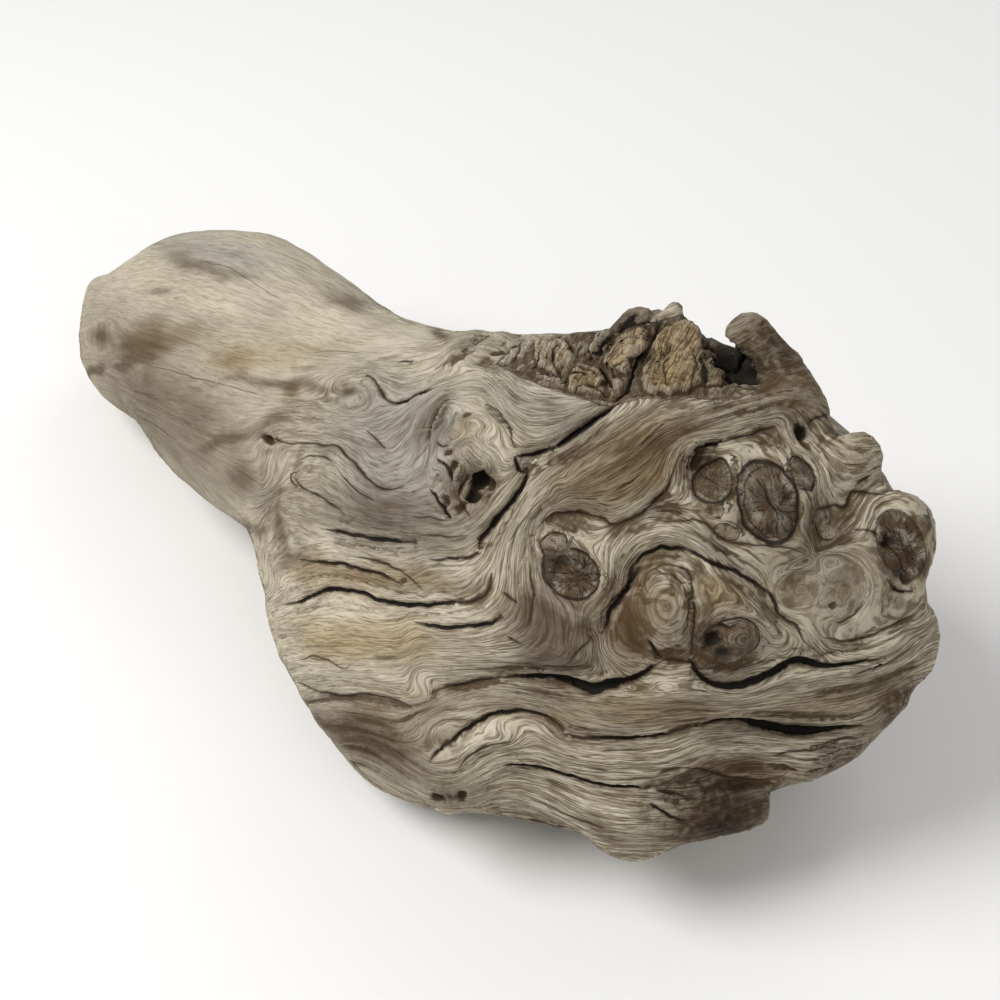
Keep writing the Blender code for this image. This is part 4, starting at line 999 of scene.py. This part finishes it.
def carve_skin(mesh, sizes, frames, cracks, tree):
    """Raises the grain, opens the cracks and breaks up the crest, then stores what the shader reads."""
    points, normals = read_points(mesh)
    grain = grain_field(mesh, points, normals, frames)
    within, look, rim, knot_far = knot_fields(points, frames)
    places, ways, across, widths, depths, owners, gaps = cracks
    which, _ = nearest(points_tree(places), points)
    off = points - places[which]
    run = (off * ways[which]).sum(1)
    beyond = np.maximum(np.abs(run) - gaps[which], 0)
    far = np.sqrt(((off - run[:, None] * ways[which]) ** 2).sum(1) + beyond ** 2)
    signed = np.where((off * across[which]).sum(1) < 0, -far, far)
    half, depth = widths[which], depths[which]
    open_half = np.where(half < HAIRLINE, 1.1, np.maximum(half, 0.6))
    depth = depth * np.where(half < HAIRLINE, 0.5, 1.0)

    pixels = picture(points)
    seen = smooth(front_facing(points, normals), 0.0, 0.2)
    torn = smooth(inside_outline(pixels, TORN_OUTLINE), -5, 5) * seen

    # Ridges along the grain. They fade in knots, on the torn crest and where the trunk is rubbed.
    across_grain = np.column_stack([grain, points[:, 0] / 5, (points[:, 1] + points[:, 2]) / 5])
    calm = 1 - smooth(knot_far, 0.8, 1.3)
    ridges = sum(share * noise_at(across_grain, size, seed) for size, share, seed in RIDGE_WAVES)
    rubbed = (seen * smooth(inside_outline(pixels, TRUNK_OUTLINE), -3, 12)
              + (1 - seen) * (1 - smooth(points[:, 0], -100, -40)))
    smoothed = np.maximum(rubbed, 0.6 * seen * (1 - smooth(pixels[:, 0] + 0.25 * (pixels[:, 1] - 500), 400, 600)))
    smoothed = np.maximum(smoothed, 0.55 * seen * patch_weight(pixels, (838, 588), 54, 42, 0))
    height = sizes.ridge_height / MM * ridges * (1 - 0.8 * calm) * (1 - 0.6 * torn) * (1 - 0.75 * rubbed)

    # The torn crest and the crumbled patches: slabs, lumps, crumbs, grit and splinters.
    rough = rough_field(points, seen)
    splinters = noise_at(np.column_stack([points @ RIGHT * 2.6, points @ UP, points @ BACK]), 7.0, 3.0)
    lumps = 1 - 2.2 * np.abs(noise_at(points * (1.0, 1.0, 0.8), 8.0, 61.0))
    crumbs = 1 - 2.2 * np.abs(noise_at(points, 4.0, 67.0))
    grit = noise_at(points, 1.9, 71.0)
    proud, cover, slab_tones = slab_fields(points, seen)
    height += torn * (sizes.torn_height / MM * (0.25 * lumps + 0.25 * crumbs + 0.25 * grit + 0.5 * splinters)
                      + proud - 1.6)
    height += rubbed * (0.7 * noise_at(points, 15.0, 73.0) + 0.3 * noise_at(points, 6.0, 79.0))
    height += rough * (1 - torn) * (0.45 * crumbs + 0.35 * grit + 0.3 * splinters - 0.2)
    sunk = sink_hollows(points, tree)
    height -= sunk

    # Knots: year rings in relief, and a sunk rim.
    radius = np.hypot(within[:, 0], within[:, 1])
    knot_rings = np.sin(radius * 19 + 2.0 * noise_at(points, 6.0, 23.0))
    height += within[:, 2] * (0.14 * look[:, 2] * knot_rings * (1 - smooth(radius, 0.95, 1.2)))
    height -= 0.6 * rim * within[:, 2] * np.exp(-((radius - 1.0) / 0.09) ** 2)

    # Cracks: a groove, with the wood on one side a little higher than on the other.
    height -= sizes.crack_depth * depth * np.exp(-(far / (1.15 * open_half)) ** 2)
    fold = np.where(signed > 0, -0.3, 0.34) * np.minimum(depth, 3.0)
    height += fold * (1 - smooth(far, 0.0, 9.0)) * smooth(far, 0.2, 1.4)

    # The sole stays flat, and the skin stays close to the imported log.
    low, top = np.array(CAD_BOX) / MM
    height *= smooth(points[:, 2], 0.3, 3.0)
    moved = np.clip(points + normals * height[:, None], low - (BULGE, BULGE, 0.0), top + BULGE)
    mesh.vertices.foreach_set("co", (moved * MM).astype(np.float32).ravel())
    mesh.update()

    edges = read(mesh.edges, "vertices", 2, int)
    normals = read_points(mesh)[1]
    # Hollows, fine and broad: how far each point lies below the mean of those round it. The shader darkens them as
    # painted shade.
    near_mean = relax(moved, edges, 4)
    wide_mean = relax(near_mean, edges, 40)
    fine_hollow = ((near_mean - moved) * normals).sum(1) * (1 - 0.9 * rubbed)
    broad_hollow = ((wide_mean - moved) * normals).sum(1) * (1 - 0.8 * smoothed)

    # Midway between two cracks the side changes with no crack there, so no line is drawn across such an edge.
    a, b = edges[:, 0], edges[:, 1]
    false_turn = ((owners[which[a]] != owners[which[b]]) & (signed[a] * signed[b] < 0)
                  & (far[a] > 0.5) & (far[b] > 0.5))
    half = half.copy()
    half[np.concatenate([a[false_turn], b[false_turn]])] = 0
    window = 1 - smooth(far - half, 1.1, 2.0)
    keep(mesh, "grain", grain)
    keep(mesh, "crack", np.stack([signed, half * window * (half > 0.05), np.maximum(torn, rough)], 1))
    keep(mesh, "knot", within)
    keep(mesh, "knot_look", look)
    keep(mesh, "knot_rim", rim)
    keep(mesh, "tone", tone_field(moved, normals, sunk, torn * (1 - cover)) + slab_tones)
    keep(mesh, "hollow_shade_and_rubbing", np.stack([fine_hollow, broad_hollow, smoothed], 1))


def add(tree, kind, settings=(), inputs=(), output=0):
    """Adds one node with its settings, and its inputs as values or links, and returns one of its outputs."""
    node = tree.nodes.new(kind)
    for name, value in dict(settings).items():
        setattr(node, name, value)
    for key, value in dict(inputs).items():
        if isinstance(value, bpy.types.NodeSocket):
            tree.links.new(value, node.inputs[key])
        else:
            node.inputs[key].default_value = value
    return node.outputs[output]


def weathered_wood(colours):
    """Sea-worn, sun-bleached softwood, its soft rings washed out: matt, silvery ridges, with painted shade in the
    hollows.
    """
    material = bpy.data.materials.new("weathered_driftwood")
    material.use_nodes = True
    tree = material.node_tree
    tree.nodes.clear()
    math_node, vector_node, noise_node = "ShaderNodeMath", "ShaderNodeVectorMath", "ShaderNodeTexNoise"
    mix_node, ramp, attribute, join = ("ShaderNodeMix", "ShaderNodeMapRange", "ShaderNodeAttribute",
                                       "ShaderNodeCombineXYZ")
    times, times_plus, minus, absolute, scale = (
        {"operation": name} for name in ("MULTIPLY", "MULTIPLY_ADD", "SUBTRACT", "ABSOLUTE", "SCALE"))
    even, soft = {}, {"interpolation_type": "SMOOTHSTEP"}

    parts = {}
    for name in ("crack", "knot", "knot_look", "tone", "hollow_shade_and_rubbing"):
        vector = add(tree, attribute, {"attribute_name": name}, output="Vector")
        parts[name] = add(tree, "ShaderNodeSeparateXYZ", {}, {0: vector}).node.outputs
    crack_side, crack_half, crumbled = parts["crack"]
    knot_x, knot_y, on_knot = parts["knot"]
    knot_dark, knot_checked, knot_ringed = parts["knot_look"]
    ochre_tone, silver_tone, dark_tone = parts["tone"]
    fine_hollow, broad_hollow, smoothed = parts["hollow_shade_and_rubbing"]
    rim = add(tree, attribute, {"attribute_name": "knot_rim"}, output="Fac")
    grain = add(tree, attribute, {"attribute_name": "grain"}, output="Fac")
    place = add(tree, "ShaderNodeTexCoord", output="Object")
    place_mm = add(tree, vector_node, scale, {0: place, "Scale": 1 / MM})
    wander = add(tree, noise_node, {}, {"Vector": place_mm, "Scale": 1 / 7, "Detail": 2.0})
    grain = add(tree, math_node, times_plus, {0: wander, 1: 1.5, 2: grain})

    # Streaks along the grain: how many per millimetre across it, how long each runs in millimetres, detail and seed.
    streaks = []
    for per_mm, run, detail, seed in (
        (3.0, 6.0, 1.0, 0.0), (1.6, 11.0, 2.0, 40.0), (0.55, 30.0, 2.0, 80.0), (1.0, 13.0, 0.0, 160.0),
    ):
        along = add(tree, vector_node, scale, {0: place_mm, "Scale": 1 / run})
        across = add(tree, math_node, times_plus, {0: grain, 1: per_mm, 2: seed})
        streaks.append(add(tree, noise_node, {"noise_dimensions": "4D"},
                           {"Vector": along, "W": across, "Scale": 1.0, "Detail": detail, "Roughness": 0.55}))
    hair, fine, band, check = streaks
    blotch, speck, cloud = (
        add(tree, noise_node, {}, {"Vector": place_mm, "Scale": 1 / lump, "Detail": detail, "Roughness": roughness})
        for lump, detail, roughness in ((26, 4.0, 0.6), (1.2, 3.0, 0.6), (5, 3.0, 0.65)))
    worn = add(tree, math_node, times_plus, {0: smoothed, 1: -0.7, 2: 1.0})
    ragged = add(tree, math_node, times_plus, {0: blotch, 1: 1.2, 2: -1.4})
    ragged = add(tree, math_node, times_plus, {0: band, 1: 1.6, 2: ragged})
    silvered, stained, darkened = (
        add(tree, math_node, times_plus, {0: ragged, 1: share, 2: tone})
        for share, tone in ((0.45, silver_tone), (0.45, ochre_tone), (0.4, dark_tone)))

    # Within a knot: year rings, rays from its middle and the distance from its rim.
    radius = add(tree, vector_node, {"operation": "LENGTH"}, {0: add(tree, join, {}, {0: knot_x, 1: knot_y})},
                 output="Value")
    angle = add(tree, math_node, {"operation": "ARCTAN2"}, {0: knot_y, 1: knot_x})
    wavy = add(tree, math_node, times_plus, {0: blotch, 1: 0.3, 2: radius})
    wavy = add(tree, math_node, times, {0: wavy, 1: 13.0})
    ring = add(tree, noise_node, {"noise_dimensions": "1D"}, {"W": wavy, "Scale": 1.0, "Detail": 2.0})
    ray = add(tree, join, {}, {0: add(tree, math_node, {"operation": "COSINE"}, {0: angle}),
                               1: add(tree, math_node, {"operation": "SINE"}, {0: angle}),
                               2: add(tree, math_node, times, {0: radius, 1: 0.35})})
    ray = add(tree, noise_node, {}, {"Vector": ray, "Scale": 2.3, "Detail": 3.0, "Distortion": 1.1})
    off_ray, off_rim = (add(tree, math_node, absolute, {0: add(tree, math_node, minus, {0: value, 1: middle})})
                        for value, middle in ((ray, 0.5), (radius, 1.0)))
    off_knots = add(tree, math_node, minus, {0: 1.0, 1: on_knot})
    off_crack = add(tree, math_node, {"operation": "DIVIDE"},
                    {0: add(tree, math_node, absolute, {0: crack_side}),
                     1: add(tree, math_node, {"operation": "MAXIMUM"}, {0: crack_half, 1: 0.02})})
    crack_strength = add(tree, ramp, even, {"Value": crack_half, "From Min": 0.08, "From Max": 0.7,
                                            "To Min": 0.45, "To Max": 1.0})

    # Each mark: what draws it, where it starts and where it is full, its edge, and what it is weakened by.
    mark = {}
    for name, value, start, full, edge, *factors in (
        ("fine", fine, 0.57, 0.4, soft, worn),
        ("hair", hair, 0.5, 0.36, soft, worn),
        ("band", band, 0.6, 0.38, even, worn),
        ("silver", silvered, 0.15, 0.85, even),
        ("ochre", stained, 0.2, 0.9, even),
        ("dark", darkened, 0.1, 1.0, even),
        ("mottle", speck, 0.64, 0.36, even, crumbled),
        # The hollow marks are painted shade: the deeper the skin lies below its surroundings, the darker it is.
        ("hollow", fine_hollow, 0.015, 0.2, even),
        ("broad hollow", broad_hollow, 0.1, 2.4, even),
        ("proud", fine_hollow, -0.03, -0.3, even),
        ("checked area", blotch, 0.46, 0.58, soft, off_knots, worn),
        ("check", check, 0.69, 0.75, soft),
        ("in knot", radius, 1.08, 0.92, soft, on_knot),
        ("knot heart", radius, 0.5, 0.0, soft),
        ("knot ring", ring, 0.55, 0.42, soft, knot_ringed),
        ("knot ray", off_ray, 0.022, 0.0, soft, knot_checked),
        ("knot rim", off_rim, 0.06, 0.015, soft, rim, on_knot),
        ("knot speck", speck, 0.4, 0.7, even),
        ("knot cloud", cloud, 0.6, 0.38, even),
        ("knot light", cloud, 0.52, 0.74, even),
        # deep: near-black where the dark tone is strongest. This is mostly painted shade in hollows, slab gaps and
        # under the hem, and partly dirt and the darkest brown stains.
        ("deep", dark_tone, 1.2, 2.1, even),
        # crack: near-black painted shade inside each crack. Check and knot line use the same colour as painted shade
        # in fine checks and knot rims.
        ("crack", off_crack, 1.1, 0.5, soft, crack_strength),
        # crack margin: a little darker beside each crack.
        ("crack margin", off_crack, 3.0, 1.0, soft),
    ):
        mark[name] = add(tree, ramp, edge, {"Value": value, "From Min": start, "From Max": full})
        for factor in factors:
            mark[name] = add(tree, math_node, times, {0: mark[name], 1: factor})
    for name, first, second in (
        ("check", mark["check"], mark["checked area"]),
        ("knot ring", mark["knot ring"], mark["in knot"]),
        ("knot ray", mark["knot ray"], mark["in knot"]),
        ("dark knot", mark["in knot"], knot_dark),
        ("crumb", speck, crumbled),
    ):
        mark[name] = add(tree, math_node, times, {0: first, 1: second})
    mark["knot line"] = add(tree, math_node, {"operation": "MAXIMUM"}, {0: mark["knot rim"], 1: mark["knot ray"]})

    # Each colour is laid over the one before it: ridges are bleached, the hollows are darkened as painted shade, and
    # cracks are filled with painted shade.
    colour = {name: (*getattr(colours, name), 1.0) for name in COLOURS}
    for name, start, layers in (
        ("silver wood", "silver", (("fine", 0.7, "shade"),)),
        ("ochre wood", "ochre", (("fine", 0.7, "brown"),)),
        ("knot wood", "knot", (("knot speck", 1.0, "shade"), ("knot cloud", 1.0, "brown"),
                               ("knot light", 0.6, "pale"), ("knot heart", 0.5, "crack"))),
        ("wood", "pale", (("fine", 0.85, "shade"), ("band", 0.55, "shade"), ("silver", 0.75, "silver wood"),
                          ("ochre", 0.85, "ochre wood"), ("dark", 0.85, "brown"), ("mottle", 0.6, "brown"),
                          ("hollow", 0.85, "brown"), ("broad hollow", 0.35, "shade"), ("proud", 0.25, "pale"),
                          ("hair", 0.7, "brown"), ("check", 0.55, "crack"), ("dark knot", 0.9, "knot wood"),
                          ("knot ring", 0.8, "brown"), ("knot line", 0.85, "crack"), ("deep", 0.9, "crack"),
                          ("crack margin", 0.35, "brown"), ("crack", 0.96, "crack"))),
    ):
        base = colour[start]
        for layer, share, over in layers:
            weight = add(tree, math_node, times, {0: mark[layer], 1: share})
            base = add(tree, mix_node, {"data_type": "RGBA"}, {0: weight, 6: base, 7: colour[over]}, output=2)
        colour[name] = base

    # Fine relief: washed-out grain, short fibres on the torn crest, pores, and the lines cut in.
    relief = 0.0
    for height, share in ((fine, 0.5), (hair, 0.35), (speck, 0.12), (mark["crumb"], 0.8),
                          (mark["crack"], -0.8), (mark["knot line"], -0.5), (mark["check"], -0.5)):
        relief = add(tree, math_node, times_plus, {0: height, 1: share, 2: relief})
    bump = add(tree, "ShaderNodeBump", {}, {"Strength": 1.0, "Distance": 1.1 * MM, "Height": relief})
    rough = add(tree, ramp, even, {"Value": fine, "From Min": 0.3, "From Max": 0.7, "To Min": 0.92, "To Max": 0.78})
    shader = add(tree, "ShaderNodeBsdfPrincipled", {},
                 {"Base Color": colour["wood"], "Roughness": rough, "Normal": bump, "IOR": 1.5,
                  "Specular IOR Level": 0.3})
    out = tree.nodes.new("ShaderNodeOutputMaterial")
    tree.links.new(shader, out.inputs["Surface"])
    return material


class DRIFTWOOD_OT_log(bpy.types.Operator):
    """Builds the weathered skin of the log, with its cracks, knots, ridges and torn crest."""

    bl_idname = "driftwood.log"
    bl_label = "Weathered log"

    def execute(self, context):
        sizes = context.scene.driftwood_sizes
        log = coarse_skin(sizes.skin_cell)
        mesh = log.data
        bm = bmesh.new()
        bm.from_mesh(mesh)
        bmesh.ops.scale(bm, vec=(1 / MM,) * 3, verts=bm.verts)
        tree = BVHTree.FromBMesh(bm)
        bm.free()
        frames = knot_frames(tree)
        cracks = lay_cracks(tree)
        places, half_widths = cracks[0], cracks[3]
        for thinnest, reach, torn_only in ((0.05, 1.6, False), (HAIRLINE, 0.7, True)):
            kept = half_widths > thinnest
            points, normals = read_points(mesh)
            pixels = picture(points)
            which, far = nearest(points_tree(places[kept]), points)
            by_crack = far < reach + half_widths[kept][which]
            area = inside_outline(pixels, TORN_OUTLINE) > -4 if torn_only else pixels[:, 0] > TRUNK_END
            split_cells(mesh, by_crack | area & (front_facing(points, normals) > 0.1))
        carve_skin(mesh, sizes, frames, cracks, tree)
        for face in mesh.polygons:
            face.use_smooth = True
        mesh.materials.clear()
        mesh.materials.append(weathered_wood(context.scene.driftwood_colours))
        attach(log, "root")
        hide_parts("driftwood_log")
        return {"FINISHED"}


class DRIFTWOOD_OT_stage(bpy.types.Operator):
    """Sets out the pale floor, the soft lights and the camera."""

    bl_idname = "driftwood.stage"
    bl_label = "Floor, lights and camera"

    def execute(self, context):
        bm = bmesh.new()
        bmesh.ops.create_grid(bm, x_segments=1, y_segments=1, size=FLOOR_HALF)
        mesh = bpy.data.meshes.new("pale_floor")
        bm.to_mesh(mesh)
        bm.free()
        floor = bpy.data.objects.new("pale_floor", mesh)
        context.scene.collection.objects.link(floor)
        material = bpy.data.materials.new("matt_painted_floor")
        material.use_nodes = True
        shader = material.node_tree.nodes["Principled BSDF"]
        shader.inputs["Base Color"].default_value = (*context.scene.driftwood_colours.floor, 1.0)
        shader.inputs["Roughness"].default_value = 0.9
        mesh.materials.append(material)

        target = Vector(VIEW_TARGET * MM)
        for name, azimuth, elevation, distance, size, watts in (
            ("soft_key", -42, 52, 1.5, 0.9, 19.0),
            ("soft_fill", 70, 40, 1.6, 1.4, 4.2),
            ("soft_back", 175, 45, 1.6, 1.2, 4.5),
        ):
            light = bpy.data.lights.new(name, "AREA")
            light.shape = "DISK"
            light.size = size
            light.energy = watts
            lamp = bpy.data.objects.new(name, light)
            a, e = math.radians(azimuth), math.radians(elevation)
            way = Vector((math.sin(a) * math.cos(e), -math.cos(a) * math.cos(e), math.sin(e)))
            lamp.location = target + way * distance
            lamp.rotation_euler = (-way).to_track_quat("-Z", "Y").to_euler()
            context.scene.collection.objects.link(lamp)

        world = bpy.data.worlds.new("soft_studio")
        world.use_nodes = True
        world.node_tree.nodes["Background"].inputs["Color"].default_value = (1.0, 1.0, 1.0, 1.0)
        world.node_tree.nodes["Background"].inputs["Strength"].default_value = 0.32
        context.scene.world = world

        camera_data = bpy.data.cameras.new("viewpoint")
        camera_data.lens, camera_data.sensor_width = LENS, SENSOR
        camera_data.clip_start, camera_data.clip_end = 0.05, 30.0
        camera = bpy.data.objects.new("viewpoint", camera_data)
        camera.location = Vector(EYE * MM)
        camera.rotation_euler = Vector(-BACK).to_track_quat("-Z", "Y").to_euler()
        context.scene.collection.objects.link(camera)
        context.scene.camera = camera
        context.scene.view_settings.view_transform = "Standard"
        return {"FINISHED"}


class DRIFTWOOD_PT_panel(bpy.types.Panel):
    """Lists the pieces of the driftwood log and what can be changed."""

    bl_label = "Driftwood log"
    bl_idname = "DRIFTWOOD_PT_panel"
    bl_space_type = "VIEW_3D"
    bl_region_type = "UI"
    bl_category = "Driftwood"

    def draw(self, context):
        for group in (context.scene.driftwood_sizes, context.scene.driftwood_colours):
            for name in group.__annotations__:
                self.layout.prop(group, name)
        for operator in (DRIFTWOOD_OT_log, DRIFTWOOD_OT_stage):
            self.layout.operator(operator.bl_idname)


CLASSES = (DriftwoodSizes, DriftwoodColours, DRIFTWOOD_OT_log, DRIFTWOOD_OT_stage, DRIFTWOOD_PT_panel)


def register():
    """Adds the settings, the operators and the panel."""
    for item in CLASSES:
        bpy.utils.register_class(item)
    bpy.types.Scene.driftwood_sizes = bpy.props.PointerProperty(type=DriftwoodSizes)
    bpy.types.Scene.driftwood_colours = bpy.props.PointerProperty(type=DriftwoodColours)


def unregister():
    """Takes them away again."""
    del bpy.types.Scene.driftwood_colours
    del bpy.types.Scene.driftwood_sizes
    for item in reversed(CLASSES):
        bpy.utils.unregister_class(item)


def main():
    """Builds the log and its stage."""
    register()
    bpy.ops.driftwood.log()
    bpy.ops.driftwood.stage()


if __name__ == "__main__":
    main()
